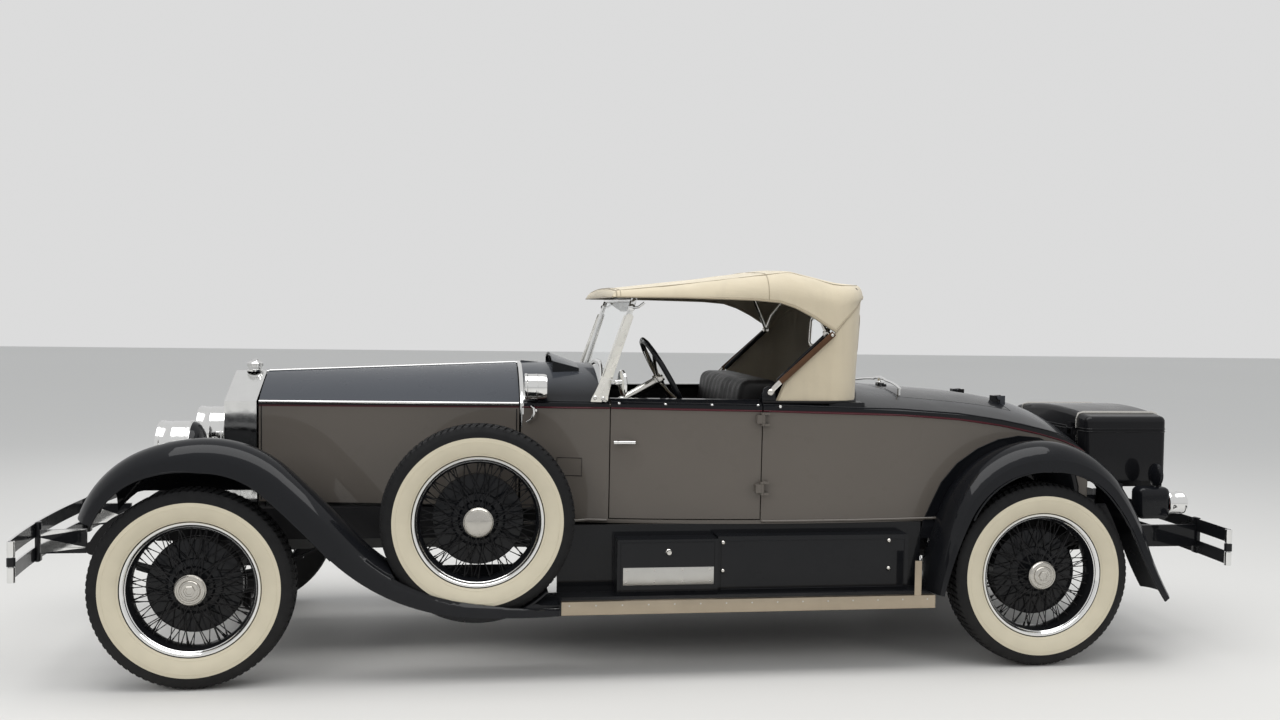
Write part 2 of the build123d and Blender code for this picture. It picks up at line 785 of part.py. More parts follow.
# Scuttle ventilator, an open flap on the crown of the cowl, and the boss at the bonnet's ridge
vent_back_x = door_front_x + 118
vent_front_x = vent_back_x + 122
vent_half = 110
vent_rise = 40
vent_wall = 6
with BuildPart() as ventilator:
    flap_z = bonnet_ridge_back_z + vent_rise
    low_z = bonnet_ridge_back_z - 30
    flap = [(vent_back_x - 8, low_z), (vent_back_x, low_z + 27), (vent_front_x, flap_z), (vent_front_x - 14, low_z)]
    under = [(x, z - vent_wall) for x, z in flap[1:3]]
    throat = [(vent_back_x, low_z - 1), under[0], under[1], (vent_front_x + 1, low_z - 1)]
    add(side_plate(flap, -vent_half, vent_half))
    add(side_plate(throat, vent_wall - vent_half, vent_half - vent_wall), mode=Mode.SUBTRACT)
    boss_top = bonnet_ridge_back_z + 10
    add(box(bonnet_back_x - 101, bonnet_back_x - 14, -12, 12, bonnet_ridge_back_z - 12, boss_top))

# Tub: everything of the body but the doors and the lid
with BuildPart() as body_tub:
    add(body_outer)
    add(body_inner, mode=Mode.SUBTRACT)
    cockpit_back_x = door_back_x - cockpit_back
    cockpit_front_x = door_front_x + 40
    cockpit_low_z = belt_z - 56
    add(box(cockpit_back_x, cockpit_front_x, -cockpit_half, cockpit_half, cockpit_low_z, 1500), mode=Mode.SUBTRACT)
    for side in (-1, 1):
        front, back, low = door_front_x + panel_gap, door_back_x - panel_gap, door_bottom_z - panel_gap
        add(box(back, front, side * 470, side * 700, low, 1500), mode=Mode.SUBTRACT)
    hatch_half = lid_half + panel_gap
    hatch_back_x, hatch_front_x = lid_back_x - panel_gap, lid_front_x + panel_gap
    add(box(hatch_back_x, hatch_front_x, -hatch_half, hatch_half, 1090, 1400), mode=Mode.SUBTRACT)
    for fixed, _ in door_leaves:
        add(both_sides(fixed))
    for fixed, _ in lid_leaves:
        add(fixed)
    with BuildPart(mode=Mode.PRIVATE) as vent_seated:
        add(ventilator.part)
        add(body_inner, mode=Mode.SUBTRACT)
    add(vent_seated.part)
save("body_tub", body_tub.part)

# Doors, hinged at their rear edges, each with a lever handle
handle_y = 609
handle_z = 1007
with BuildPart() as door_left:
    add(body_outer)
    add(body_inner, mode=Mode.SUBTRACT)
    add(box(door_back_x, door_front_x, 470, 700, door_bottom_z, door_top_z), mode=Mode.INTERSECT)
    for _, moving in door_leaves:
        add(moving)
    add(rod((door_front_x - 24, handle_y - 45, handle_z), (door_front_x - 24, handle_y, handle_z), 9))
    add(rod((door_front_x - 14, handle_y, handle_z), (door_front_x - 104, handle_y, handle_z), 7))
save("door_left", door_left.part)
save("door_right", mirrored(door_left.part))

# Rumble lid cut from the deck, with a handle near its front edge
with BuildPart() as rumble_lid:
    add(body_outer)
    add(body_inner, mode=Mode.SUBTRACT)
    add(box(lid_back_x, lid_front_x, -lid_half, lid_half, 1095, 1400), mode=Mode.INTERSECT)
    for _, moving in lid_leaves:
        add(moving)
    with Locations((lid_front_x - 50, 0, body_stations[3][4] - 4)):
        Cylinder(16, 28)
        Box(24, 100, 10, align=(Align.CENTER, Align.CENTER, Align.MIN))
save("rumble_lid", rumble_lid.part)

# Floor and firewall, cut to the body's inner form
floor_thick = 20
firewall_thick = 12
with BuildPart() as floor:
    add(body_inner)
    with BuildPart(mode=Mode.INTERSECT):
        floor_low = rail_top + seat_gap
        wall_x = bonnet_back_x - 2
        add(box(rear_axle_x - 250, wall_x, -body_half, body_half, floor_low, rail_top + floor_thick))
        add(box(wall_x - firewall_thick, wall_x, -body_half, body_half, floor_low, 1500))
    for side in (-1, 1):
        front, back, inner_y = door_front_x + panel_gap, door_back_x - panel_gap, door_inner_y - panel_gap
        add(box(back, front, side * inner_y, side * 700, rail_top - 10, 1400), mode=Mode.SUBTRACT)
save("floor", floor.part)

# Windscreen: two flat leaning posts, a frame between them and a lower strip that follows the cowl
screen_plane = Plane(
    origin=(screen_base_x, 0, screen_base_z),
    x_dir=(0, 1, 0),
    z_dir=(cos(radians(screen_lean)), 0, sin(radians(screen_lean))),
)
screen_length = screen_rise / cos(radians(screen_lean))
pane_half = screen_half - post_thick
strip_rise = 18
strip_form = body_form(-strip_rise, body_stations[:3])
with BuildPart() as windscreen_frame:
    with BuildSketch(screen_plane):
        with Locations((0, screen_length / 2 - 30)):
            Rectangle(2 * pane_half, screen_length + 60)
            Rectangle(2 * (pane_half - screen_frame), screen_length + 60, mode=Mode.SUBTRACT)
        with Locations((0, screen_length - screen_frame / 2)):
            Rectangle(2 * pane_half, screen_frame)
    extrude(amount=screen_frame / 2, both=True)
    with BuildPart(mode=Mode.PRIVATE) as lower_strip:
        with BuildSketch(screen_plane):
            with Locations((0, 70)):
                Rectangle(2 * pane_half, 220)
        extrude(amount=screen_frame / 2, both=True)
        add(strip_form, mode=Mode.INTERSECT)
    add(lower_strip.part)
    for side in (-1, 1):
        with BuildSketch(screen_plane):
            with Locations((side * (pane_half + post_thick / 2), screen_length / 2 - 30)):
                Rectangle(post_thick, screen_length + 60)
        extrude(amount=post_width / 2, both=True)
    foot = 24
    for side in (-1, 1):
        foot_low = (screen_base_x - 42, screen_base_z - 30)
        foot_high = (screen_base_x - tan(radians(screen_lean)) * 100, screen_base_z + 100)
        outline = [
            foot_low,
            (foot_low[0] + 84, foot_low[1]),
            (foot_high[0] + foot, foot_high[1]),
            (foot_high[0] - foot, foot_high[1]),
        ]
        add(side_plate(outline, side * (screen_half - post_thick), side * (screen_half + 4)))
    mirror_centre = Vector(screen_base_x - 92, screen_half + 48, screen_base_z + 82)
    post_point = (screen_base_x - 40, screen_half - 6, screen_base_z + 100)
    add(rod(post_point, tuple(mirror_centre), 6))
    with Locations(Plane(origin=mirror_centre, z_dir=(-1, -0.25, 0.05))):
        Cylinder(58, 16)
    add(body_outer, mode=Mode.SUBTRACT)
save("windscreen_frame", windscreen_frame.part)

with BuildPart() as windscreen_glass:
    with BuildSketch(screen_plane):
        with Locations((0, screen_length / 2)):
            Rectangle(2 * (pane_half - screen_frame - seat_gap), screen_length - 2 * screen_frame)
    extrude(amount=glass_thick / 2, both=True)
    with BuildSketch(screen_plane):
        with Locations((0, screen_length - screen_frame)):
            Rectangle(2 * (pane_half - screen_frame - seat_gap), 2 * screen_frame)
    extrude(amount=glass_thick / 2, both=True)
    add(strip_form, mode=Mode.SUBTRACT)
    add(windscreen_frame.part, mode=Mode.SUBTRACT)
save("windscreen_glass", windscreen_glass.part)

# Soft top: a roof lofted over its bows, cut to the plan of the rear curtain, hollow and open in
# front and at the sides. Section: distance behind the header, crown z, corner radius.
top_sections = [
    (0, 1690, 36),
    (810, 1794, 110),
    (917, 1804, 130),
    (1160, 1754, 110),
    (1410, 1730, 80),
]


def top_section(x, crown, corner, inset):
    half = top_half - inset
    crown = crown - inset
    edge = crown - top_camber
    corner = corner - inset
    bend = corner * (1 - cos(radians(45)))
    with BuildSketch(Plane.YZ.offset(x)) as section:
        with BuildLine():
            Polyline((-half, edge - corner), (-half, top_base_z), (half, top_base_z), (half, edge - corner))
            ThreePointArc((half, edge - corner), (half - bend, edge - bend), (half - corner, edge))
            ThreePointArc((half - corner, edge), (0, crown), (corner - half, edge))
            ThreePointArc((corner - half, edge), (bend - half, edge - bend), (-half, edge - corner))
        make_face()
    return section.sketch


def curtain_plan(z, rear_x, inset):
    side_y = top_half - inset
    corner_y = side_y - 112
    with BuildSketch(Plane.XY.offset(z)) as plan:
        with BuildLine():
            left = TangentArc((rear_x + 270, side_y), (rear_x + 105, corner_y), tangent=(-1, 0))
            ThreePointArc(left @ 1, (rear_x, 0), (rear_x + 105, -corner_y))
            TangentArc((rear_x + 270, -side_y), (rear_x + 105, -corner_y), tangent=(-1, 0))
            front_x = top_front_x + 50
            Polyline((rear_x + 270, -side_y), (front_x, -side_y), (front_x, side_y), (rear_x + 270, side_y))
        make_face()
    return plan.sketch


def top_form(inset, lip):
    with BuildPart() as curtain:
        add(curtain_plan(top_base_z, top_rear_x + top_rear_lean + inset, inset))
        add(curtain_plan(top_base_z + 700, top_rear_x + inset, inset))
        loft(ruled=True)
    with BuildPart() as form:
        for back, crown, corner in top_sections:
            add(top_section(top_front_x - max(back, lip), crown, corner, inset))
        loft(ruled=True)
        add(curtain.part, mode=Mode.INTERSECT)
    return form.part


arch_foot = (door_back_x - 66, top_base_z - 20)
arch_knee = (door_back_x - 108, 1277)
arch_hip = (door_back_x - 350, 1508)
arch_top = (door_back_x - 92, top_edge_z - 5)
with BuildPart() as soft_top:
    add(top_form(0, 0))
    add(top_form(top_skin, top_lip), mode=Mode.SUBTRACT)
    with BuildSketch(Plane.XZ.offset(-top_half - 5)):
        with BuildLine():
            Polyline((top_front_x + 5, top_edge_z), (top_front_x + 5, arch_foot[1]), arch_foot, arch_knee, arch_hip)
            arch = ThreePointArc(arch_hip, (door_back_x - 236, 1590), arch_top)
            TangentArc(arch @ 1, (door_back_x + 50, top_edge_z), tangent=arch % 1)
            Line((door_back_x + 50, top_edge_z), (top_front_x + 5, top_edge_z))
        make_face()
    extrude(amount=2 * top_half + 10, mode=Mode.SUBTRACT)
    window_low = rear_window_z - rear_window_height / 2
    window_high = rear_window_z + rear_window_height / 2
    with BuildSketch(Plane.YZ.offset(top_rear_x - 20)):
        with Locations((0, rear_window_z)):
            RectangleRounded(2 * rear_window_half, rear_window_height, 30)
    extrude(amount=200, mode=Mode.SUBTRACT)
    add(body_outer, mode=Mode.SUBTRACT)
save("soft_top", soft_top.part)

# Bows and irons of the top: a bent main bow, a rear bow, the header and side rails, all carried
# by a bracket and an outer arm on each side
pivot = (door_back_x - 86, 1277)
bow_lean = 59
bow_rise = 513
bow_y = top_half - top_skin - bow_radius - 3
bow_corner = 120
bow_way = Vector(-bow_lean, 0, bow_rise).normalized()
bow_plane = Plane(origin=(pivot[0], 0, pivot[1]), x_dir=(0, 1, 0), z_dir=Vector(0, 1, 0).cross(bow_way))
with BuildPart() as main_bow:
    with BuildLine(bow_plane) as bow_line:
        leg_top = bow_rise - 22 - bow_corner
        Line((bow_y, 0), (bow_y, leg_top))
        TangentArc((bow_y, leg_top), (bow_y - bow_corner, leg_top + bow_corner), tangent=(0, 1))
        flat_z = leg_top + bow_corner
        Line((bow_y - bow_corner, flat_z), (bow_corner - bow_y, flat_z))
        TangentArc((-bow_y, leg_top), (bow_corner - bow_y, flat_z), tangent=(0, 1))
        Line((-bow_y, leg_top), (-bow_y, 0))
    with BuildSketch(Plane(origin=bow_plane.from_local_coords((bow_y, 0, 0)), z_dir=bow_way)):
        Circle(bow_radius)
    sweep(path=bow_line.line)

with BuildPart() as top_irons:
    add(main_bow.part)
    header_x = screen_base_x - tan(radians(screen_lean)) * screen_rise
    header_low = screen_base_z + screen_rise + post_width / 2 * sin(radians(screen_lean)) + seat_gap
    add(box(header_x - 30, header_x + 30, 40 - top_half, top_half - 40, header_low, header_low + 25))
    rear_bow_x = top_rear_x + 140
    rear_bow_z = 1703
    add(rod((rear_bow_x, -520, rear_bow_z), (rear_bow_x, 520, rear_bow_z), bow_radius))
    for side in (-1, 1):
        rail_y = side * (bow_y - 12)
        add(rod((header_x, rail_y, header_low + 14), (pivot[0] - 44, rail_y, header_low + 10), 8))
        add(rod((pivot[0], side * bow_y, pivot[1]), (rear_bow_x, side * 520, rear_bow_z), 8))
        boss_out = top_half + 22
        add(rod((pivot[0], side * (bow_y - 12), pivot[1]), (pivot[0], side * boss_out, pivot[1]), 16))
        arm_y = side * (top_half + 12)
        add(rod((pivot[0], arm_y, pivot[1]), (arch_hip[0] + 12, arm_y, arch_hip[1] + 14), 11))
        bracket = [
            (pivot[0] - 16, pivot[1]),
            (pivot[0] + 10, pivot[1] + 12),
            (door_back_x - 16, belt_z - 10),
            (door_back_x - 70, belt_z - 10),
        ]
        add(side_plate(bracket, side * (top_half + 2), side * (top_half + 20)))
    add(body_outer, mode=Mode.SUBTRACT)
    add(soft_top.part, mode=Mode.SUBTRACT)
save("top_irons", top_irons.part)


# Wings: a crowned section swept along tangent arcs, both ways from the crown
def wing_section(plane, drop, inner_drop):
    middle = (wing_outer_y + wing_inner_y) / 2 + 5
    lip = 7
    shoulder = drop * 0.6
    inner_edge = wing_outer_y - lip - wing_skin
    with BuildSketch(plane) as section:
        with BuildLine():
            out = TangentArc((middle, 0), (wing_outer_y - lip, -shoulder), tangent=(1, 0))
            skirt = [(wing_outer_y, -drop), (wing_outer_y - wing_skin, -drop), (inner_edge, -shoulder - 2)]
            Polyline(out @ 1, *skirt)
            TangentArc((middle, -wing_skin), (inner_edge, -shoulder - 2), tangent=(1, 0))
            TangentArc((middle, -wing_skin), (wing_inner_y, -inner_drop - wing_skin), tangent=(-1, 0))
            Line((wing_inner_y, -inner_drop - wing_skin), (wing_inner_y, -inner_drop))
            TangentArc((middle, 0), (wing_inner_y, -inner_drop), tangent=(-1, 0))
        make_face()
    return section.sketch


def path_plane(line, at, forward=False):
    spot = line @ at
    along = (line % at) * (1 if forward else -1)
    return Plane(origin=(spot.X, 0, spot.Z), x_dir=(0, 1, 0), z_dir=(along.X, 0, along.Z))


def arc_path(start, tangent, ends):
    with BuildLine(Plane.XZ) as line:
        heading = tangent
        here = start
        for end in ends:
            piece = TangentArc(here, end, tangent=heading)
            here = end
            ahead = piece % 1
            heading = (ahead.X, ahead.Z)
    return line.line


def wing_arm(path, forward, start_drop, end_drop, end_inner):
    with BuildPart() as arm:
        add(wing_section(path_plane(path, 0, forward), start_drop, wing_inner_drop))
        add(wing_section(path_plane(path, 1, forward), end_drop, end_inner))
        sweep(path=path, multisection=True)
    return arm.part


# Front wing, with the well that holds the spare tyre
front_crown = (front_axle_x - 43, 1038)
front_tip = [(front_axle_x + 207, 990), (front_axle_x + 460, 716)]
front_slope = [(front_axle_x - 377, 908), (front_axle_x - 660, 625)]
front_tail = [(front_axle_x - 1127, 376), (board_front_x, board_top)]
tip_drop = 80
tail_drop = 58
well_inner = spare_y - tyre_width / 2 - seat_gap
well_outer = spare_y + tyre_width / 2 + seat_gap
well_mouth_z = 470
well_back_z = 380
with BuildPart() as wing_front_left:
    add(wing_arm(arc_path(front_crown, (1, 0), front_tip), True, wing_drop, tip_drop, 30))
    back = arc_path(front_crown, (-1, 0), front_slope)
    sweep(wing_section(path_plane(back, 0), wing_drop, wing_inner_drop), path=back)
    turn = back % 1
    tail = arc_path(front_slope[-1], (turn.X, turn.Z), front_tail)
    add(wing_arm(tail, False, wing_drop, tail_drop, 12))
    with BuildPart(mode=Mode.PRIVATE) as well:
        well_start = (spare_x, well_inner - well_wall, spare_z)
        well_end = (spare_x, well_outer + well_wall, spare_z)
        add(rod(well_start, well_end, tyre_radius + well_wall))
        reach = 2 * tyre_radius
        add(box(spare_x - reach, spare_x + reach, 0, 900, well_mouth_z, 1500), mode=Mode.SUBTRACT)
        add(box(spare_x - reach, spare_x - 250, 0, 900, well_back_z, 1500), mode=Mode.SUBTRACT)
    add(well.part)
    tyre_space = rod((spare_x, well_inner, spare_z), (spare_x, well_outer, spare_z), tyre_radius + seat_gap)
    add(tyre_space, mode=Mode.SUBTRACT)
save("wings_front", both_sides(wing_front_left.part))

# Rear wing
rear_crown = (rear_axle_x - 23, 1024)
rear_front = [(rear_axle_x + 427, 710), (board_back_x + 2, board_top)]
rear_back = [(rear_axle_x - 407, 825), (rear_axle_x - 540, 567), (rear_axle_x - 650, 323)]
with BuildPart() as wing_rear_left:
    add(wing_arm(arc_path(rear_crown, (1, 0), rear_front), True, wing_drop, 45, 12))
    add(wing_arm(arc_path(rear_crown, (-1, 0), rear_back), False, wing_drop, 60, 20))
    add(box(board_back_x, board_front_x, 500, 900, 200, 500), mode=Mode.SUBTRACT)
    add(body_outer, mode=Mode.SUBTRACT)
save("wings_rear", both_sides(wing_rear_left.part))

# Running boards on their irons, and the valances between them and the body
board_iron = 20
with BuildPart() as running_boards:
    # X of the iron, Y of the rail's outer face there
    rail_outer = rail_rear_y + rail_width / 2
    iron_spots = [
        (board_back_x + 140, rail_outer),
        (door_back_x + 122, rail_outer),
        (board_front_x - 112, rail_front_y + rail_width / 2 + 40),
    ]
    iron_low = board_top - board_thick + 11
    for side in (-1, 1):
        outer, inner = side * wing_outer_y, side * board_inner_y
        add(box(board_back_x, board_front_x, inner, outer, board_top - board_thick, board_top))
        for iron_x, iron_y in iron_spots:
            front, back = iron_x + board_iron, iron_x - board_iron
            root_y = side * (iron_y - board_iron)
            add(box(back, front, root_y, side * (board_inner_y + 40), iron_low, iron_low + board_iron))
            add(box(back, front, root_y, side * iron_y, iron_low, rail_bottom))
        valance_inner = side * (valance_y - valance_thick)
        valance_top = body_bottom_z - seat_gap
        add(box(board_back_x, board_front_x, valance_inner, side * valance_y, board_top, valance_top))
save("running_boards", running_boards.part)

# Tool box and the long locker on each running board
tool_box_length = 450
locker_length = 882
with BuildPart() as side_lockers:
    tool_front_x = board_front_x - 257
    tool_back_x = tool_front_x - tool_box_length
    locker_front_x = tool_back_x - 3
    for side in (-1, 1):
        face_y = side * (valance_y + seat_gap)
        add(box(tool_back_x, tool_front_x, face_y, side * (valance_y + 103), board_top, board_top + 248))
        add(box(locker_front_x - locker_length, locker_front_x, face_y, side * (valance_y + 88), board_top, board_top + 256))
save("side_lockers", side_lockers.part)

# Seats
seat_low = rail_top + floor_thick + 2 * seat_gap
squab_x = door_back_x + 142
with BuildPart() as seat_cushion:
    add(box(squab_x + seat_gap, squab_x + 290, -seat_half, seat_half, seat_low, cushion_top_z))
    fillet(seat_cushion.edges().group_by(Axis.Z)[-1], 30)
with BuildPart() as seat_back:
    squab = [(squab_x, seat_low), (squab_x - 65, seat_back_z), (squab_x - 225, seat_back_z), (squab_x - 265, seat_low)]
    add(side_plate(squab, -seat_half, seat_half))
    fillet(seat_back.edges().group_by(Axis.Z)[-1], 40)
with BuildPart() as rumble_seat:
    add(box(lid_back_x + 200, lid_front_x - 30, -lid_half, lid_half, seat_low, 850))
    fillet(rumble_seat.edges(), 30)
save("seat", joined(seat_cushion.part, seat_back.part, rumble_seat.part))

# Dash panel and steering column
steer_rim_radius = 200
steer_grip_radius = 13
steer_y = 308
steer_tilt = 30
steer_centre = Vector(door_front_x - 278, steer_y, 1285)
column_way = Vector(cos(radians(steer_tilt)), 0, -sin(radians(steer_tilt)))
with BuildPart() as steering_wheel:
    with Locations(Plane(origin=steer_centre, z_dir=column_way)):
        Torus(steer_rim_radius, steer_grip_radius)
        Cylinder(30, 40)
        for turn in (0, 90, 180, 270):
            with Locations(Rot(0, 0, turn) * Pos(steer_rim_radius / 2, 0, 0)):
                Box(steer_rim_radius - 10, 20, 8)
save("steering_wheel", steering_wheel.part)

with BuildPart() as dash_panel:
    add(box(door_front_x + 95, door_front_x + 117, -cockpit_half, cockpit_half, 1050, 1290))
    add(body_inner, mode=Mode.INTERSECT)
column_top = steer_centre + column_way * (20 + running_gap)
column = rod(tuple(column_top), tuple(column_top + column_way * 620), 22)
save("dashboard", joined(dash_panel.part, column))

# Head lamps: polished drums with dark domed backs, on stanchions joined by a bar
lamp_front_x = front_axle_x + lamp_reach
dome_base = lamp_radius - 7
dome_depth = lamp_back - lamp_drum
with BuildPart() as lamp:
    with BuildSketch(Plane.XZ):
        with BuildLine():
            Polyline((0, 0), (0, lamp_radius - 8), (-6, lamp_radius), (-lamp_drum, lamp_radius))
            Line((-lamp_drum, lamp_radius), (-lamp_drum, dome_base))
            RadiusArc((-lamp_drum, dome_base), (-lamp_back, 0), -(dome_base**2 + dome_depth**2) / (2 * dome_depth))
            Line((-lamp_back, 0), (0, 0))
        make_face()
    revolve(axis=Axis.X)
with BuildPart() as head_lamps:
    post_front, post_back = lamp_front_x - 60, lamp_front_x - 90
    bar_z = lamp_z - lamp_radius - 46
    for side in (-1, 1):
        add(Pos(lamp_front_x, side * lamp_y, lamp_z) * lamp.part)
        add(box(post_back, post_front, side * (lamp_y - 15), side * (lamp_y + 15), bar_z - 15, lamp_z - lamp_radius + 12))
        add(box(post_back, post_front, side * (rail_front_y - 20), side * (rail_front_y + 20), rail_top, bar_z))
    add(box(post_back, post_front, -lamp_y - 15, lamp_y + 15, bar_z - 15, bar_z + 15))

# Cowl lamps on short stalks
cowl_lamp_x = bonnet_back_x - 64
with BuildPart() as cowl_lamps:
    for side in (-1, 1):
        half = cowl_lamp_length / 2
        lamp_end = (cowl_lamp_x - half, side * cowl_lamp_y, cowl_lamp_z)
        add(rod(lamp_end, (cowl_lamp_x + half, side * cowl_lamp_y, cowl_lamp_z), cowl_lamp_radius))
        stalk_y = side * (cowl_lamp_y - 45)
        add(rod((cowl_lamp_x, stalk_y, cowl_lamp_z - 100), (cowl_lamp_x, stalk_y, cowl_lamp_z - 30), 12))
    add(body_outer, mode=Mode.SUBTRACT)
    add(head_lamps.part)
save("front_lamps", cowl_lamps.part)

# Trunk on its rack: an open case and a domed lid with a hinge at the front
trunk_corner = 30
lid_edge = 26
trunk_hinge_reach = 12
trunk_hinge_y = 260
trunk_leaves = []
for side in (-1, 1):
    pin_spot = (trunk_front_x + trunk_hinge_reach, side * trunk_hinge_y, trunk_seam_z + rest_gap / 2)
    trunk_pin = Plane(origin=pin_spot, x_dir=(0, 0, 1), z_dir=(0, 1, 0))
    trunk_leaves.append(hinge_leaves(trunk_pin, trunk_hinge_reach + 3, hinge_span))
with BuildPart() as trunk:
    add(box(trunk_back_x, trunk_front_x, -trunk_half, trunk_half, trunk_bottom_z, trunk_seam_z))
    fillet(trunk.edges().filter_by(Axis.Z), trunk_corner)
    offset(amount=-trunk_wall, openings=trunk.faces().sort_by(Axis.Z)[-1])
    for fixed, _ in trunk_leaves:
        add(fixed)
save("trunk", trunk.part)

with BuildPart() as lid_shell:
    skirt_z = trunk_seam_z + trunk_skirt
    lid_low = trunk_seam_z + rest_gap
    with BuildSketch(Plane.YZ.offset(trunk_back_x)):
        with BuildLine():
            Polyline((-trunk_half, skirt_z), (-trunk_half, lid_low), (trunk_half, lid_low), (trunk_half, skirt_z))
            ThreePointArc((trunk_half, skirt_z), (0, trunk_seam_z + trunk_crown), (-trunk_half, skirt_z))
        make_face()
    extrude(amount=trunk_length)
    fillet(lid_shell.edges().filter_by(Axis.Z), trunk_corner)
    fillet(lid_shell.faces().sort_by(Axis.Z)[-1].edges(), lid_edge)
    offset(amount=-trunk_wall, openings=lid_shell.faces().sort_by(Axis.Z)[0])
with BuildPart() as trunk_lid:
    add(lid_shell.part)
    for _, moving in trunk_leaves:
        add(moving)
save("trunk_lid", trunk_lid.part)

# Bumpers: two bowed blades with rolled ends, pinned at the ends and carried by irons from the frame
blade_height = 62
blade_thick = 10
blade_pitch = 105
blade_eye = 15


def bumper(face_x, bow, way, half, irons_y, root_x, low_z):
    """Way is 1 for the front bumper and -1 for the rear one."""
    end_x = face_x - way * bow
    back_x = face_x - way * blade_thick
    top_z = low_z + blade_pitch + blade_height
    eye_x = end_x - way * blade_eye
    with BuildPart() as piece:
        for blade_z in (low_z, low_z + blade_pitch):
            with BuildSketch(Plane.XY.offset(blade_z)):
                with BuildLine():
                    ThreePointArc((end_x, -half), (face_x, 0), (end_x, half))
                    Line((end_x, half), (end_x - way * blade_thick, half))
                    back_end = end_x - way * blade_thick
                    ThreePointArc((back_end, half), (back_x, 0), (back_end, -half))
                    Line((back_end, -half), (end_x, -half))
                make_face()
                with Locations((eye_x, half), (eye_x, -half)):
                    Circle(blade_eye)
            extrude(amount=blade_height)
        for side in (-1, 1):
            add(rod((eye_x, side * half, low_z + 2), (eye_x, side * half, top_z - 2), blade_eye - 5))
            iron_x = face_x - way * (blade_thick + bow * (irons_y / half) ** 2)
            iron_low = low_z + blade_height / 2
            add(box(root_x, iron_x, side * (irons_y - 9), side * (irons_y + 9), iron_low, iron_low + blade_pitch))
        add(chassis_frame.part, mode=Mode.SUBTRACT)
    return piece.part


save("bumper_front", bumper(front_end_x, 55, 1, 800, rail_front_y, rail_front_x + iron_reach, 465))
save("bumper_rear", bumper(rear_end_x, 40, -1, 790, rail_rear_y, rail_rear_x, 452))

# Rear lamps: a dark housing with a polished drum and a round reflector above it
rear_lamp_y = 500
rear_lamp_z = 700
rear_lamp_radius = 55
with BuildPart() as rear_lamps:
    front_x = rail_rear_x - 52
    back_x = front_x - 163
    for side in (-1, 1):
        y = side * rear_lamp_y
        with BuildPart(mode=Mode.PRIVATE) as housing:
            add(box(back_x, front_x, y - 50, y + 50, rear_lamp_z - 75, rear_lamp_z + 80))
            fillet(housing.edges().filter_by(Axis.X), 30)
        add(housing.part)
        add(rod((back_x + 5, y, rear_lamp_z), (back_x - 85, y, rear_lamp_z), rear_lamp_radius))
        disc_z = rear_lamp_z + 80 + rear_lamp_radius
        add(rod((back_x + 50, y, disc_z), (back_x + 70, y, disc_z), rear_lamp_radius))
        add(rod((back_x + 60, y, rear_lamp_z + 70), (back_x + 60, y, disc_z - 40), 8))
        add(box(front_x - 20, rail_rear_x + 15, y - side * 45, y + side * 5, rear_lamp_z - 70, rear_lamp_z - 20))
    add(chassis_frame.part, mode=Mode.SUBTRACT)
save("rear_lamps", rear_lamps.part)
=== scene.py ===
"""Looks of the vintage roadster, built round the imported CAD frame. Lengths in metres."""

from math import asin, atan2, cos, hypot, pi, radians, sin, sqrt

import bmesh
import bpy
from mathutils import Matrix, Vector, noise
from mathutils.bvhtree import BVHTree


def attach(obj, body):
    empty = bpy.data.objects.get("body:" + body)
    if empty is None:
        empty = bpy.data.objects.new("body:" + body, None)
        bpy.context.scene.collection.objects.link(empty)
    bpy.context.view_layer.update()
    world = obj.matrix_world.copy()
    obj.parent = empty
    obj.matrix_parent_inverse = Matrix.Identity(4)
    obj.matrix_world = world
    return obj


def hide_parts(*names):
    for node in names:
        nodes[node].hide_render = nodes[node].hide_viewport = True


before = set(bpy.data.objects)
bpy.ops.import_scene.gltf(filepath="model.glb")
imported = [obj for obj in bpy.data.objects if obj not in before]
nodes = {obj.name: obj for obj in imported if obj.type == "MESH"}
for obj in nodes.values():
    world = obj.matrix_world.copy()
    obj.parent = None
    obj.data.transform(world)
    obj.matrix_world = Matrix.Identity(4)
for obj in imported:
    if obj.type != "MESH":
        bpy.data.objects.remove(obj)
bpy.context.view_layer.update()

# Main places, as in the part's source
FRONT, REAR, WHEEL_Z, HALF_TRACK = 1.965, -1.755, 0.419, 0.724
SPARE = (0.791, 0.698, 0.683)
WING_Y = 0.815
BOARD_FRONT, BOARD_BACK, BOARD_TOP = 0.442, -1.24, 0.342
TRUNK_FRONT, TRUNK_BACK, TRUNK_SEAM = -2.165, -2.59, 1.04
SIDES = ((1, "left"), (-1, "right"))
X_WAY, Y_WAY, Z_WAY = (1, 0, 0), (0, 1, 0), (0, 0, 1)


def at(x, y, z):
    return Vector((x, y, z))


def mm(*points):
    """Points given in millimetres."""
    return [tuple(value / 1000 for value in point) for point in points]


def on_side(side, *points):
    """Points given for the left side, or their mirror image when side is -1."""
    return [at(x, side * y, z) for x, y, z in points]


def opaque(colour):
    return (*colour, 1)


def connect(tree, source, target):
    """Links a socket to another, or sets its value."""
    if hasattr(source, "is_output"):
        tree.links.new(source, target)
    else:
        target.default_value = source


def new_node(tree, kind, sources, **values):
    made = tree.nodes.new(kind)
    for key, value in values.items():
        setattr(made, key, value)
    for socket, source in sources.items():
        connect(tree, source, made.inputs[socket])
    return made


def add_object(name, data):
    thing = bpy.data.objects.new(name, data)
    bpy.context.scene.collection.objects.link(thing)
    return thing


# Materials


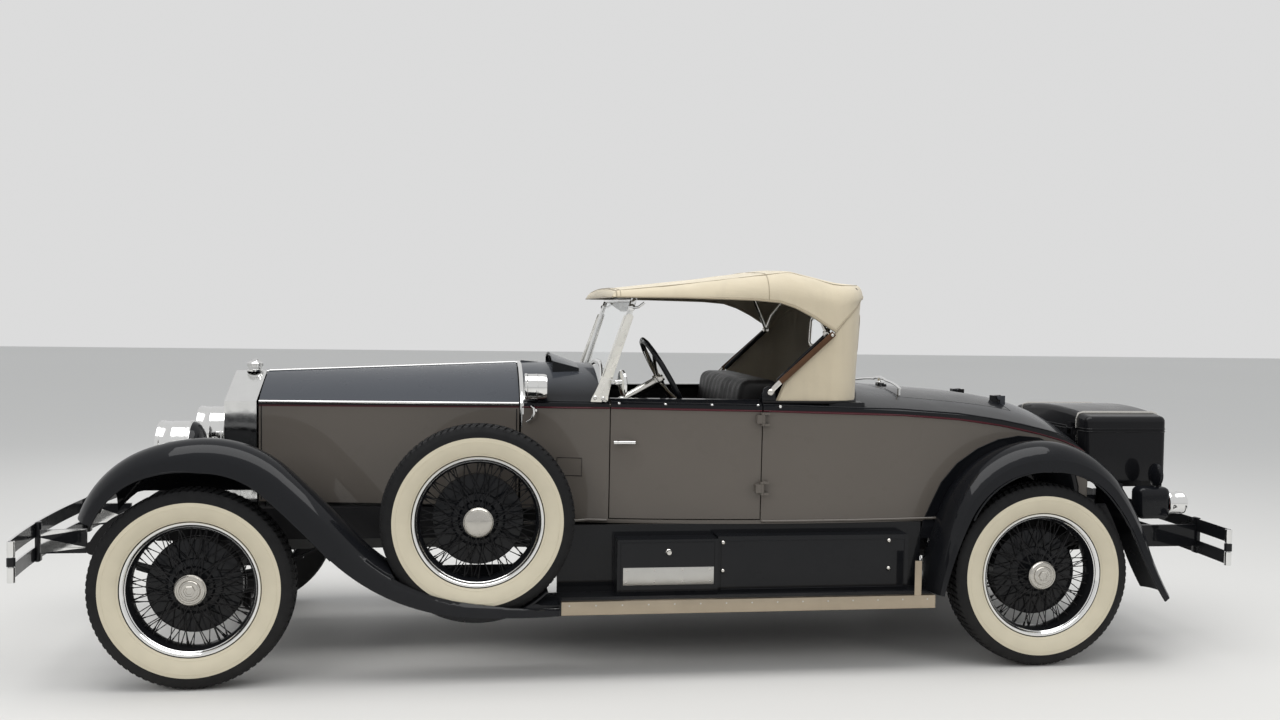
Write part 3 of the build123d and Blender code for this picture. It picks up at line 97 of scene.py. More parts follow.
class Surface:
    """A procedural material: a principled shader with mottled colour, roughness and bump."""

    def __init__(self, name, colour, rough=0.5, metal=0.0, coat=0.0, vary=0.1, scale=5.0, shine=0.5):
        self.mat = bpy.data.materials.new(name)
        self.mat.use_nodes = True
        self.tree = self.mat.node_tree
        self.shader = self.tree.nodes["Principled BSDF"]
        self.set("Metallic", metal)
        self.set("Coat Weight", coat)
        self.set("Coat Roughness", 0.03)
        self.set("Specular IOR Level", shine)
        self.coords = self.node("ShaderNodeTexCoord").outputs["Object"]
        self.height = None
        low = opaque([c * (1 - vary) for c in colour])
        high = opaque([min(1, c * (1 + vary)) for c in colour])
        self.colour = self.mix(self.noise(scale, 5), low, high)
        self.rough = self.ramp(self.noise(scale * 3, 4), rough * 0.85, rough * 1.15)

    def set(self, socket, value):
        connect(self.tree, value, self.shader.inputs[socket])

    def node(self, kind, sources=(), **values):
        return new_node(self.tree, kind, dict(sources), **values)

    def noise(self, scale, detail=4, stretch=None):
        source = self.coords
        if stretch:
            source = self.node("ShaderNodeMapping", {"Vector": source, "Scale": stretch}).outputs["Vector"]
        sources = {"Vector": source, "Scale": scale, "Detail": detail}
        return self.node("ShaderNodeTexNoise", sources).outputs["Fac"]

    def math(self, operation, a, b):
        return self.node("ShaderNodeMath", {0: a, 1: b}, operation=operation).outputs[0]

    def ramp(self, value, low, high, start=0.3, end=0.7):
        ends = {"Value": value, "From Min": start, "From Max": end, "To Min": low, "To Max": high}
        return self.node("ShaderNodeMapRange", ends).outputs["Result"]

    def mix(self, factor, a, b):
        return self.node("ShaderNodeMix", {0: factor, 6: a, 7: b}, data_type="RGBA").outputs[2]

    def axes(self):
        return self.node("ShaderNodeSeparateXYZ", {0: self.coords}).outputs

    def bump(self, height, strength, distance=0.001):
        sources = {"Strength": strength, "Distance": distance, "Height": height}
        if self.height is not None:
            sources["Normal"] = self.height
        self.height = self.node("ShaderNodeBump", sources).outputs["Normal"]

    def dust(self, colour, low, high, amount):
        """A film of dust that grows downwards between two heights."""
        rise = self.ramp(self.axes()[2], amount, 0.0, low, high)
        patch = self.ramp(self.noise(9, 6), 0.4, 1.0)
        self.colour = self.mix(self.math("MULTIPLY", rise, patch), self.colour, opaque(colour))

    def done(self):
        self.set("Base Color", self.colour)
        self.set("Roughness", self.rough)
        if self.height is not None:
            self.set("Normal", self.height)
        return self.mat


def gloss(name, colour):
    made = Surface(name, colour, rough=0.3, coat=0.42, vary=0.06, scale=3.0, shine=0.04)
    made.bump(made.noise(420, 2), 0.03, 0.0004)
    made.bump(made.noise(5, 2), 0.05, 0.004)
    made.dust((0.16, 0.145, 0.125), 0.15, 0.75, 0.035)
    return made


def polished(name, colour, rough=0.09, vary=0.05):
    made = Surface(name, colour, rough=rough, metal=1.0, vary=vary, scale=14.0)
    made.rough = made.ramp(made.noise(30, 6), rough * 0.55, rough * 1.7)
    made.bump(made.noise(160, 3), 0.04, 0.0005)
    return made.done()


def brushed(name, colour, rough, stretch):
    made = Surface(name, colour, rough=rough, metal=1.0, vary=0.14, scale=8.0)
    made.bump(made.noise(60, 5, stretch), 0.25, 0.0006)
    return made.done()


def plain(name, colour, rough, bump_scale, bump, vary=0.15, scale=8.0, distance=0.001, dusty=0.0):
    made = Surface(name, colour, rough=rough, vary=vary, scale=scale, shine=0.18)
    made.bump(made.noise(bump_scale, 5), bump, distance)
    if dusty:
        made.dust((0.2, 0.18, 0.155), 0.0, 0.8, dusty)
    return made.done()


def hide_leather(name, colour):
    made = Surface(name, colour, rough=0.42, vary=0.18, scale=7.0, shine=0.14)
    cells = made.node("ShaderNodeTexVoronoi", {"Scale": 420, "Vector": made.coords})
    made.bump(cells.outputs["Distance"], 0.35, 0.0008)
    made.bump(made.noise(28, 4), 0.25, 0.003)
    return made.done()


def woven(name, colour, vary=0.14):
    made = Surface(name, colour, rough=0.85, vary=vary, scale=2.6)
    stain = made.ramp(made.noise(1.7, 7), 0.0, 0.55, 0.5, 0.78)
    made.colour = made.mix(stain, made.colour, opaque([c * 0.66 for c in colour]))
    streak = made.ramp(made.noise(3.0, 5, (5, 5, 0.7)), 0.0, 0.3, 0.5, 0.8)
    made.colour = made.mix(streak, made.colour, opaque([c * 0.74 for c in colour]))
    thread = {"Scale": 950.0 / 6.28, "Distortion": 0.6, "Vector": made.coords}
    waves = [made.node("ShaderNodeTexWave", thread, bands_direction=way).outputs["Fac"] for way in "XYZ"]
    made.bump(made.math("MULTIPLY", made.math("ADD", waves[0], waves[1]), waves[2]), 0.35, 0.0006)
    made.bump(made.noise(11, 5), 0.45, 0.006)
    made.set("Sheen Weight", 0.25)
    made.set("Sheen Roughness", 0.6)
    return made.done()


def clear_glass(name, colour, rough, bend):
    made = Surface(name, colour, rough=rough, vary=0.01)
    made.set("Transmission Weight", 1.0)
    made.set("IOR", bend)
    made.rough = made.ramp(made.noise(6, 6), rough * 0.3, rough)
    return made


# The belt line in X and Z, from the bonnet to the tail
BELT = mm((598, 1150), (205, 1156), (-472, 1150), (-1134, 1131), (-1425, 1109), (-1645, 1078))
BELT += mm((-1846, 1036), (-1973, 1003), (-2050, 972))
CURVE_START, CURVE_SPAN, CURVE_BASE = -2.2, 4.2, 0.5


def above_belt(surface):
    """Height above the maroon belt line, which falls towards the tail."""
    axes = surface.axes()
    span = surface.ramp(axes[0], 0.0, 1.0, CURVE_START, CURVE_START + CURVE_SPAN)
    curve = surface.node("ShaderNodeFloatCurve", {"Value": span})
    line = mm((-2200, 905), (-2050, 972), (-1846, 1036), (-1645, 1078), (-1425, 1109), (-1134, 1131))
    line += mm((-472, 1150), (205, 1156), (600, 1150), (1785, 1140), (2000, 1138))
    points = curve.mapping.curves[0].points
    while len(points) < len(line):
        points.new(0.5, 0.5)
    for point, (x, z) in zip(points, line):
        point.location = ((x - CURVE_START) / CURVE_SPAN, z - CURVE_BASE)
    curve.mapping.update()
    return surface.math("SUBTRACT", axes[2], surface.math("ADD", curve.outputs["Value"], CURVE_BASE))


TAUPE, INK, SLATE = (0.118, 0.104, 0.09), (0.006, 0.0065, 0.008), (0.05, 0.054, 0.062)
coachwork = gloss("coachwork", TAUPE)
above = above_belt(coachwork)
upper = coachwork.mix(coachwork.ramp(above, 0.0, 1.0, 0.055, 0.16), opaque(INK), opaque(SLATE))
for start, end, colour in ((-0.0005, 0.0005, (0.05, 0.006, 0.01, 1)), (0.0065, 0.0075, upper)):
    coachwork.colour = coachwork.mix(coachwork.ramp(above, 0, 1, start, end), coachwork.colour, colour)

finishes = {
    "coachwork": coachwork.done(),
    "black": gloss("black_enamel", INK).done(),
    "slate": gloss("slate_enamel", SLATE).done(),
    "maroon": gloss("maroon_line", (0.06, 0.007, 0.012)).done(),
    "chrome": polished("chrome_plate", (0.8, 0.8, 0.79)),
    "nickel": polished("nickel_plate", (0.66, 0.64, 0.6), 0.16, 0.1),
    "cap": polished("hub_cap_metal", (0.52, 0.5, 0.46), 0.2, 0.1),
    # painted shade: the board strip's brass gets a dull, dark colour that stands in for its side face lying
    # in shade
    "shaded_brass": brushed("board_strip", (0.42, 0.355, 0.27), 0.36, (1, 1, 24)),
    "satin": polished("satin_plate", (0.88, 0.86, 0.8), 0.3, 0.05),
    "alloy": brushed("brushed_alloy", (0.58, 0.57, 0.54), 0.36, (1, 1, 30)),
    "shutter": brushed("shutter_metal", (0.42, 0.42, 0.42), 0.3, (20, 20, 1)),
    "chassis": plain("chassis_enamel", (0.009, 0.009, 0.01), 0.38, 120, 0.15, dusty=0.07),
    "cast": plain("cast_iron", (0.1, 0.1, 0.098), 0.62, 260, 0.5, distance=0.002),
    "rubber": plain("tyre_rubber", (0.0095, 0.0095, 0.01), 0.66, 300, 0.35, dusty=0.045),
    "wall": plain("cream_rubber", (0.585, 0.53, 0.405), 0.5, 90, 0.18, vary=0.07, scale=14),
    "ribbed": plain("ribbed_mat", (0.01, 0.01, 0.011), 0.6, 200, 0.25, dusty=0.05),
    "carpet": plain("carpet", (0.02, 0.018, 0.017), 0.95, 900, 1.0, distance=0.004),
    "canvas": woven("top_canvas", (0.52, 0.45, 0.325)),
    "lining": woven("top_lining", (0.25, 0.215, 0.16)),
    "binding": woven("top_binding", (0.3, 0.25, 0.17), vary=0.2),
    "leather": hide_leather("seat_leather", (0.009, 0.0085, 0.0085)),
    "trunk": gloss("trunk_enamel", (0.007, 0.007, 0.008)).done(),
    "wood": plain("arm_wood", (0.075, 0.036, 0.018), 0.35, 60, 0.2, vary=0.35, scale=20),
    "dial": plain("dial_face", (0.55, 0.53, 0.48), 0.4, 200, 0.05),
    "glass": clear_glass("clear_glass", (0.95, 0.97, 0.97), 0.02, 1.1).done(),
}
red = Surface("red_glass", (0.35, 0.008, 0.006), rough=0.12, coat=1.0)
red.bump(red.node("ShaderNodeTexVoronoi").outputs["Distance"], 0.3, 0.002)
finishes["red"] = red.done()
lens = clear_glass("lens_glass", (0.95, 0.96, 0.96), 0.1, 1.45)
flutes = lens.node("ShaderNodeTexWave", {"Scale": 22, "Vector": lens.coords}, bands_direction="Y")
lens.bump(flutes.outputs["Fac"], 0.5, 0.002)
finishes["lens"] = lens.done()

# Mesh tools


def unit_frame(axis):
    """An axis of length one and two directions square to it."""
    axis = Vector(axis).normalized()
    helper = Vector(Z_WAY) if abs(axis.z) < 0.9 else Vector(X_WAY)
    first = axis.cross(helper).normalized()
    return axis, first, axis.cross(first).normalized()


def way_round(axis, turn):
    """The direction square to an axis at an angle round it."""
    _, first, second = unit_frame(axis)
    return first * cos(turn) + second * sin(turn)


def arc_points(a, b, c, count):
    """Points on the circle through three points of a plane, from the first to the last."""
    ax, ay, bx, by, cx, cy = *a, *b, *c
    d = 2 * (ax * (by - cy) + bx * (cy - ay) + cx * (ay - by))
    sa, sb, sc = ax * ax + ay * ay, bx * bx + by * by, cx * cx + cy * cy
    ux = (sa * (by - cy) + sb * (cy - ay) + sc * (ay - by)) / d
    uy = (sa * (cx - bx) + sb * (ax - cx) + sc * (bx - ax)) / d
    start, middle, end = (atan2(y - uy, x - ux) for x, y in (a, b, c))
    turn = (end - start) % (2 * pi)
    if (middle - start) % (2 * pi) > turn:
        turn -= 2 * pi
    radius = hypot(ax - ux, ay - uy)
    steps = [start + turn * i / count for i in range(count + 1)]
    return [(ux + radius * cos(t), uy + radius * sin(t)) for t in steps]


class Piece:
    """Collects shapes and becomes one mesh object that rides on a body."""

    def __init__(self, name):
        self.name = name
        self.verts, self.faces, self.marks = [], [], []

    def add(self, verts, faces, mark=0):
        base = len(self.verts)
        self.verts += [Vector(v) for v in verts]
        self.faces += [tuple(i + base for i in face) for face in faces]
        self.marks += [mark] * len(faces)

    def take(self, made, mark, move=(0, 0, 0)):
        """Adds the faces of a bmesh, which is then freed."""
        index = {vert: i for i, vert in enumerate(made.verts)}
        verts = [vert.co + Vector(move) for vert in made.verts]
        self.add(verts, [tuple(index[v] for v in face.verts) for face in made.faces], mark)
        made.free()

    def grid(self, rows, mark=0, around=False, along=False):
        """Quads between rows of points; around closes each row and along joins the last row to the first."""
        count, width = len(rows), len(rows[0])
        faces = []
        for i in range(count if along else count - 1):
            for j in range(width if around else width - 1):
                k, m = (i + 1) % count, (j + 1) % width
                faces.append((i * width + j, i * width + m, k * width + m, k * width + j))
        self.add([p for row in rows for p in row], faces, mark)

    def lathe(self, origin, axis, profile, segments=48, mark=0):
        """Turns a profile of (radius, distance along the axis)."""
        origin, axis = Vector(origin), Vector(axis).normalized()
        rows = []
        for i in range(segments):
            way = way_round(axis, 2 * pi * i / segments)
            rows.append([origin + way * max(r, 1e-5) + axis * d for r, d in profile])
        self.grid(rows, mark, along=True)

    def tube(self, points, radius, sides=8, mark=0, closed=False, flat=1.0, up=None):
        """A round or flattened bar along points; up holds the flat side's direction."""
        points = [Vector(p) for p in points]
        count = len(points)
        rows, side = [], None
        for i, point in enumerate(points):
            before = points[i - 1] if i or closed else point
            after = points[(i + 1) % count] if i < count - 1 or closed else point
            along = (after - before).normalized()
            if up is not None:
                side = along.cross(Vector(up)).normalized()
            elif side is None:
                side = unit_frame(along)[1]
            else:
                side = (side - along * side.dot(along)).normalized()
            other = side.cross(along).normalized()
            ring = []
            for j in range(sides):
                turn = 2 * pi * (j + 0.5) / sides
                ring.append(point + side * radius * cos(turn) + other * radius * flat * sin(turn))
            rows.append(ring)
        self.grid(rows, mark, around=True, along=closed)
        if not closed:
            end = len(self.verts)
            self.faces.append(tuple(end - count * sides + j for j in range(sides)))
            self.faces.append(tuple(end - sides + j for j in reversed(range(sides))))
            self.marks += [mark, mark]

    def block(self, low, high, mark=0, bevel=0.003, steps=2):
        """A box with rounded edges."""
        low, high = Vector(low), Vector(high)
        made = bmesh.new()
        bmesh.ops.create_cube(made, size=1)
        size = Vector([abs(h - l) for l, h in zip(low, high)])
        for vert in made.verts:
            vert.co = Vector([c * s for c, s in zip(vert.co, size)])
        width = min(bevel, min(size) * 0.45)
        bmesh.ops.bevel(made, geom=made.edges[:], offset=width, segments=steps, profile=0.5, affect="EDGES")
        self.take(made, mark, (low + high) / 2)

    def plate(self, outline, y0, y1, mark=0, bevel=0.0012):
        """A plate with eased edges between two Y values; its outline is in X and Z."""
        made = bmesh.new()
        face = made.faces.new([made.verts.new((x, y0, z)) for x, z in outline])
        grown = bmesh.ops.extrude_face_region(made, geom=[face])
        moved = [part for part in grown["geom"] if isinstance(part, bmesh.types.BMVert)]
        bmesh.ops.translate(made, vec=(0, y1 - y0, 0), verts=moved)
        bmesh.ops.bevel(made, geom=made.edges[:], offset=bevel, segments=2, profile=0.5, affect="EDGES")
        self.take(made, mark)

    def stud(self, point, normal, radius=0.006, height=0.004, mark=0, segments=14):
        """A domed stud, screw or rivet head."""
        profile = [(radius, 0), (radius * 0.92, height * 0.55), (radius * 0.6, height * 0.9), (0, height)]
        self.lathe(point, normal, profile, segments, mark)

    def grip(self, spot, normal, arm, radius, sides):
        """The bar of a T handle, an arm to either side of its foot."""
        ends = [spot + normal * 0.022 - Vector(arm), spot + normal * 0.022 + Vector(arm)]
        self.tube([ends[0], spot + normal * 0.024, ends[1]], radius, sides)

    def mesh(self, sharp):
        mesh = bpy.data.meshes.new(self.name)
        mesh.from_pydata([tuple(v) for v in self.verts], [], self.faces)
        made = bmesh.new()
        made.from_mesh(mesh)
        for face, mark in zip(made.faces, self.marks):
            face.material_index = mark
            face.smooth = True
        bmesh.ops.remove_doubles(made, verts=made.verts, dist=2e-5)
        bmesh.ops.recalc_face_normals(made, faces=made.faces)
        made.to_mesh(mesh)
        made.free()
        mesh.set_sharp_from_angle(angle=radians(sharp))
        return mesh

    def make(self, body, materials, slot, sharp=40, stands_for=()):
        mesh = self.mesh(sharp)
        for material in materials:
            mesh.materials.append(finishes[material])
        thing = add_object(self.name, mesh)
        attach(thing, body)
        if stands_for:
            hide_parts(*stands_for)
        return thing


def tree_of(*names):
    verts, faces = [], []
    for name in names:
        mesh = nodes[name].data
        base = len(verts)
        verts += [v.co.copy() for v in mesh.vertices]
        faces += [tuple(base + i for i in p.vertices) for p in mesh.polygons]
    return BVHTree.FromPolygons(verts, faces)


skin = tree_of("body_tub", "door_left", "door_right", "rumble_lid")
deck_skin = tree_of("body_tub", "rumble_lid")
bonnet_skin = tree_of("bonnet_side_left", "bonnet_side_right", "bonnet_top_left", "bonnet_top_right")
trunk_skin = tree_of("trunk_lid")
tub_skin = tree_of("body_tub")


def side_point(x, z, side=1, lift=0.0, tree=skin):
    """The point on the car's side at X and Z, and its normal."""
    point, normal, _, _ = tree.ray_cast(at(x, side * 2, z), at(0, -side, 0))
    if point is None:
        point, normal = at(x, side * 0.6, z), at(0, side, 0)
    normal = normal if normal.y * side > 0 else -normal
    return point + normal * lift, normal


def side_line(spots, side, lift, tree=skin):
    """Points on the car's side at pairs of X and Z."""
    return [side_point(x, z, side, lift, tree)[0] for x, z in spots]


def top_point(x, y, lift=0.0, tree=deck_skin, start=2.5):
    """The point on the deck, the cowl or another top at X and Y, and its normal."""
    point, normal, _, _ = tree.ray_cast(at(x, y, start), at(0, 0, -1))
    if point is None:
        point, normal = at(x, y, 1.2), at(0, 0, 1)
    normal = normal if normal.z > 0 else -normal
    return point + normal * lift, normal


# CAD nodes keep their shapes and get materials
NODE_FINISHES = {
    "coachwork": "body_tub door_left door_right bonnet_side_left bonnet_side_right",
    "slate": "bonnet_top_left bonnet_top_right",
    "black": "rumble_lid running_boards side_lockers wings_rear",
    "chrome": "bumper_front bumper_rear radiator_shell",
    "chassis": "chassis_frame front_axle knuckle_left knuckle_right rear_axle tie_rod",
    "trunk": "trunk trunk_lid",
    "wood": "dashboard",
    "cast": "engine",
    "carpet": "floor",
    "shutter": "radiator_shutters",
    "glass": "windscreen_glass",
}
for name, dressed in NODE_FINISHES.items():
    for node in dressed.split():
        nodes[node].data.materials.clear()
        nodes[node].data.materials.append(finishes[name])


def paint_faces(node, name, test):
    """Gives the faces of a CAD node that pass a test another material."""
    mesh = nodes[node].data
    mesh.materials.append(finishes[name])
    index = len(mesh.materials) - 1
    for face in mesh.polygons:
        if test(face.center, face.normal):
            face.material_index = index


def faces_inward(centre, normal):
    return tub_skin.ray_cast(centre + normal * 0.002, normal, 1.4)[0] is not None


paint_faces("body_tub", "leather", lambda c, n: faces_inward(c, n) and c.z < 1.36 and abs(c.y) < 0.63)
for side, label in SIDES:
    paint_faces("door_" + label, "leather", lambda c, n, s=side: n.y * s < -0.5 and abs(c.y) < 0.615)
paint_faces("body_tub", "chrome", lambda c, n: c.z > 1.342 and c.x > 0.48 and abs(c.y) < 0.02)
paint_faces("radiator_shell", "black", lambda c, n: c.z < 0.588)
for name, way in (("bumper_front", 1), ("bumper_rear", -1)):
    paint_faces(name, "black", lambda c, n, w=way: n.x * w < -0.25 and abs(c.y) < 0.785)
    paint_faces(name, "black", lambda c, n, w=way: c.x * w < 2.62 and abs(c.y) < 0.5)
paint_faces("dashboard", "nickel", lambda c, n: c.x < 0.295 or c.x > 0.325)

# Tyres
BEAD, RIM_Y, CROWN, TYRE_HALF = 0.2755, 0.0575, 0.419, 0.082
BLOCKS, GROOVE, SHOULDER_DROP, WHITE_LIFT = 84, 0.0075, 0.0165, 0.0009
LUG_FACES = [(0, 1, 3, 2), (2, 3, 5, 4), (6, 7, 1, 0), (0, 2, 8, 6), (1, 7, 9, 3), (2, 4, 8), (3, 9, 5)]


def tyre(name, centre, out, body, stands_for):
    piece = Piece(name)
    centre, axis = Vector(centre), at(0, out, 0)
    wall_top = (CROWN - 0.028, TYRE_HALF - 0.006)
    wall = arc_points((BEAD, RIM_Y), (0.3365, TYRE_HALF - 0.0015), wall_top, 22)
    outer = mm((269, 52), (271.5, 56.5)) + wall
    whole = outer + [(CROWN - 0.01, TYRE_HALF - 0.018)]
    pale = [i for i, (r, _) in enumerate(outer) if 0.284 < r < 0.3605]
    low, high = pale[0], pale[-1] + 1
    white = [(r, y + WHITE_LIFT) for r, y in outer[low: high + 1]]
    piece.lathe(centre, axis, outer[: low + 1], 120, 0)
    piece.lathe(centre, axis, [outer[low]] + white + [outer[high]], 120, 1)
    piece.lathe(centre, axis, whole[high:], 120, 0)
    piece.lathe(centre, axis, [(r, -y) for r, y in whole][::-1], 120, 0)
    for radius, height in mm((294, 1.2), (350, 1)):
        r, y = min(wall, key=lambda p: abs(p[0] - radius))
        piece.lathe(centre, axis, [(r - 0.002, y), (r, y + height + WHITE_LIFT), (r + 0.002, y)], 96, 1)
    # tread: chevron blocks between grooves
    across = [y / 1000 for y in (-66, -65.5, -40, -39.5, -34, -33.5, -9, -8.5)]
    across += [-y for y in reversed(across)]
    low_rows = {3, 4, 7, 8, 11, 12}
    pitch, bend = 2 * pi / BLOCKS, 0.55
    rows = []
    for block in range(BLOCKS):
        for share, high in ((0.00, False), (0.05, True), (0.68, True), (0.73, False)):
            ring = []
            for i, y in enumerate(across):
                turn = (block + share + bend * abs(y) / 0.066) * pitch
                radius = CROWN - 0.009 * (y / 0.065) ** 2
                if i in (0, len(across) - 1):
                    radius -= SHOULDER_DROP
                elif not high or i in low_rows:
                    radius -= GROOVE
                ring.append(centre + way_round(axis, turn) * radius + axis * y)
            rows.append(ring)
    piece.grid(rows, 0, along=True)
    # shoulder lugs that show from the side
    for block in range(BLOCKS):
        for side in (1, -1):
            way = way_round(axis, (block + 0.36 + bend) * pitch)
            cross, outward = axis.cross(way), axis * side
            here = centre + outward * 0.0655
            quad = []
            for r, y, w in ((0.388, 0.009, 0.0068), (0.4075, 0.0035, 0.0085), (0.412, -0.003, 0.0085)):
                quad += [here + way * r + cross * w * s + outward * y for s in (-1, 1)]
            back = [here + way * 0.386 + cross * 0.0068 * s + outward * 0.004 for s in (-1, 1)]
            inner = [v - outward * 0.006 for v in quad[2:4]]
            piece.add(quad + back + inner, LUG_FACES)
    piece.make(body, ["rubber", "wall"], "tyre", 40, stands_for)


# Laced wheels
# Spoke rows: radius and distance at the hub, distance at the rim, lacing angle, count
SPOKE_ROWS = ((0.046, 0.054, 0.02, 38, 28), (0.11, -0.012, -0.012, 22, 40), (0.05, 0.05, -0.002, 30, 20))
SPOKE_END, NIPPLE = 0.2505, 0.018


def wheel(name, centre, out, body, stands_for, domed=False):
    piece = Piece(name)
    centre, axis = Vector(centre), at(0, out, 0)
    rim = mm((269.5, 50), (274.5, 55.5), (280, 60), (281.5, 63.5), (279, 66.5), (273, 66.5))
    rim += mm((268, 63), (265, 57))
    piece.lathe(centre, axis, rim, 120, 1)
    well = mm((265, 57), (258.5, 52), (254, 40), (250, 30), (248, 0), (250, -30), (256, -44), (265, -56))
    well += mm((274, -60), (270, -54), (260, -40), (256, 0), (260, 40), (269.5, 50))
    piece.lathe(centre, axis, well, 120, 0)
    piece.lathe(centre, axis, mm((258.8, 52.8), (261.8, 56), (264, 54.5)), 120, 1)
    drum = mm((20.5, -70), (190, -70), (196, -66))
    for rib in range(5):
        y = -60 + rib * 9
        drum += mm((196, y - 2), (192, y - 1), (192, y + 1), (196, y + 2))
    drum += mm((196, -20), (190, -17.5), (118, -16.5), (112, -10), (100, -4), (88, 1), (78, -4), (60, -2))
    drum += mm((52, 10), (46, 30), (43, 48), (50, 52), (50, 60))
    piece.lathe(centre, axis, drum, 72, 0)
    cap = mm((48, 56), (60, 60), (64, 62), (64, 68), (61.5, 70), (62, 73), (59, 77))
    if domed:
        cap += mm((56, 79), (54, 78), (48, 82.5), (38, 86.5), (25, 89.5), (12, 90.8), (0, 91.2))
    else:
        cap += mm((53, 79), (52, 76.5), (44, 76.5), (43, 80), (40, 83), (34, 84.5))
        cap += mm((33, 83), (30, 83), (0, 83))
    piece.lathe(centre, axis, cap, 72, 3)
    if not domed:
        hexagon = [way_round(axis, radians(60 * i)) * 0.024 for i in range(6)]
        rings = [(1.0, 0.083), (1.0, 0.0885), (0.9, 0.0905), (0.6, 0.09), (0.56, 0.087), (0.02, 0.0865)]
        piece.grid([[centre + p * k + axis * d for p in hexagon] for k, d in rings], 3, around=True)
        for i in range(24):
            way = way_round(axis, 2 * pi * i / 24)
            piece.stud(centre + way * 0.0485 + axis * 0.0765, axis, 0.0016, 0.0012, 3, 6)
    for hub_r, hub_y, rim_y, lace, count in SPOKE_ROWS:
        for i in range(count):
            turn = 2 * pi * i / count
            start = centre + way_round(axis, turn) * hub_r + axis * hub_y
            way = way_round(axis, turn + radians(lace if i % 2 else -lace))
            end = centre + way * SPOKE_END + axis * rim_y
            piece.tube([start, end], 0.0021, 6, 2)
            piece.tube([end + (start - end).normalized() * NIPPLE, end], 0.0034, 6, 2)
            piece.stud(start, axis if hub_y > 0 else way, 0.0042, 0.003, 2, 6)
    piece.make(body, ["black", "chrome", "chassis", "cap"], "black_paint", 30, stands_for)


for place, x in (("front_", FRONT), ("rear_", REAR)):
    for side, label in SIDES:
        corner, middle = place + label, (x, side * HALF_TRACK, WHEEL_Z)
        wheel("laced_wheel_" + corner, middle, side, "wheel_" + corner, ["wheel_" + corner])
        tyre("tread_tyre_" + corner, middle, side, "wheel_" + corner, ["tyre_" + corner])
for side, label in SIDES:
    middle = (SPARE[0], side * SPARE[1], SPARE[2])
    wheel("laced_spare_" + label, middle, side, "car", ["spare_wheels"], True)
    tyre("tread_spare_" + label, middle, side, "car", ["spare_tyres"])

# Soft top
TOP_FRONT, TOP_HALF, TOP_REAR, REAR_LEAN, CAMBER = 0.19, 0.612, -1.075, 0.043, 0.016
# X, height of the crown and radius of the shoulder
TOP_STATIONS = mm((205, 1699, 40), (165, 1706, 46), (-510, 1792, 110))
TOP_STATIONS += mm((-617, 1804, 130), (-860, 1754, 110), (-1110, 1730, 80))
HIP, KNEE, FOOT = (-0.822, 1.508), (-0.58, 1.277), (-0.548, 1.205)
# Edge of the roof's cloth over the door, in X and Z
ARCH = mm((205, 1656), (-120, 1657), (-262, 1655), (-438, 1652), (-554, 1643), (-628, 1619), (-703, 1582))
ARCH += mm((-760, 1546)) + [HIP]
SIDE_STEPS, CORNER_STEPS, BACK_STEPS = 56, 16, 26
CORNER_X, CORNER_RADIUS, BACK_RADIUS, BACK_HALF = 0.27, 0.17754, 1.243, 0.5
CURTAIN_LOW, CURTAIN_RISE, DECK_EDGE, DECK_LOW = 1.175, 0.7, -0.957, 1.1865
CLOTH_RIPPLE, CLOTH_DEPTH, VALANCE_Z = 0.0042, 0.0022, 1.6555


def between(points, x):
    """Straight interpolation in a table whose first column falls."""
    for (x0, *a), (x1, *b) in zip(points, points[1:]):
        if x >= x1:
            t = max(0.0, min(1.0, (x0 - x) / (x0 - x1)))
            return [p + (q - p) * t for p, q in zip(a, b)]
    return list(points[-1][1:])


def plan_curve():
    """The top's outline seen from above, left half, with rear X 0: side run, corner arc and back arc."""
    length = TOP_FRONT - TOP_REAR
    points = [(length + (CORNER_X - length) * i / SIDE_STEPS, TOP_HALF) for i in range(SIDE_STEPS)]
    for i in range(CORNER_STEPS):
        turn = asin(0.165 / CORNER_RADIUS) * i / CORNER_STEPS
        points.append((CORNER_X - CORNER_RADIUS * sin(turn), TOP_HALF - CORNER_RADIUS * (1 - cos(turn))))
    for i in range(BACK_STEPS + 1):
        turn = asin(BACK_HALF / BACK_RADIUS) * (1 - i / BACK_STEPS)
        points.append((BACK_RADIUS - BACK_RADIUS * cos(turn), BACK_RADIUS * sin(turn)))
    return points


def rear_lean(z):
    return REAR_LEAN * (1 - (z - CURTAIN_LOW) / CURTAIN_RISE)


def split_height(x, side_share):
    """The edge of the roof's cloth: the side arch, then the seam up to the rear bow."""
    if x >= HIP[0]:
        return between(ARCH, x)[0]
    t = min(1.0, (HIP[0] - x) / 0.185)
    return HIP[1] + (1.668 - HIP[1]) * t ** 0.75 + 0.012 * side_share


def roof_height(x, y):
    crown, corner = between(TOP_STATIONS, x)
    sag = 0.0
    if x > -0.55:
        sag = 0.005 * sin(pi * min(1, max(0, (0.25 - x) / 0.8)))
    elif x < -0.64:
        sag = 0.004 * sin(pi * min(1, max(0, (-0.64 - x) / 0.4)))
    return crown - CAMBER * min(abs(y) / (TOP_HALF - corner), 1) ** 2 - sag


def profile_at(x, y, share):
    """Foot point, inward direction, corner radius, reach and roof height of one column of cloth."""
    foot = at(x, y, 0)
    spine = at(x if share <= 0 else TOP_REAR + CORNER_X - 0.1 * share, 0, 0)
    reach = (spine - foot).length
    inward = (spine - foot).normalized()
    corner = min(between(TOP_STATIONS, x)[1], reach * 0.45)
    corner = corner + (0.055 - corner) * min(1, share * 1.6)
    crest = foot + inward * corner
    return foot, inward, corner, reach, roof_height(crest.x, crest.y)


def cloth_point(column, z, side_share):
    """A point of the wall or the rounded shoulder at a height."""
    foot, inward, corner, _, top = column
    start = top - corner
    if z <= start:
        return at(foot.x + rear_lean(z) * side_share, foot.y, z)
    turn = asin(min(1.0, (z - start) / corner))
    spot = foot + inward * corner * (1 - cos(turn))
    return at(spot.x, spot.y, z)


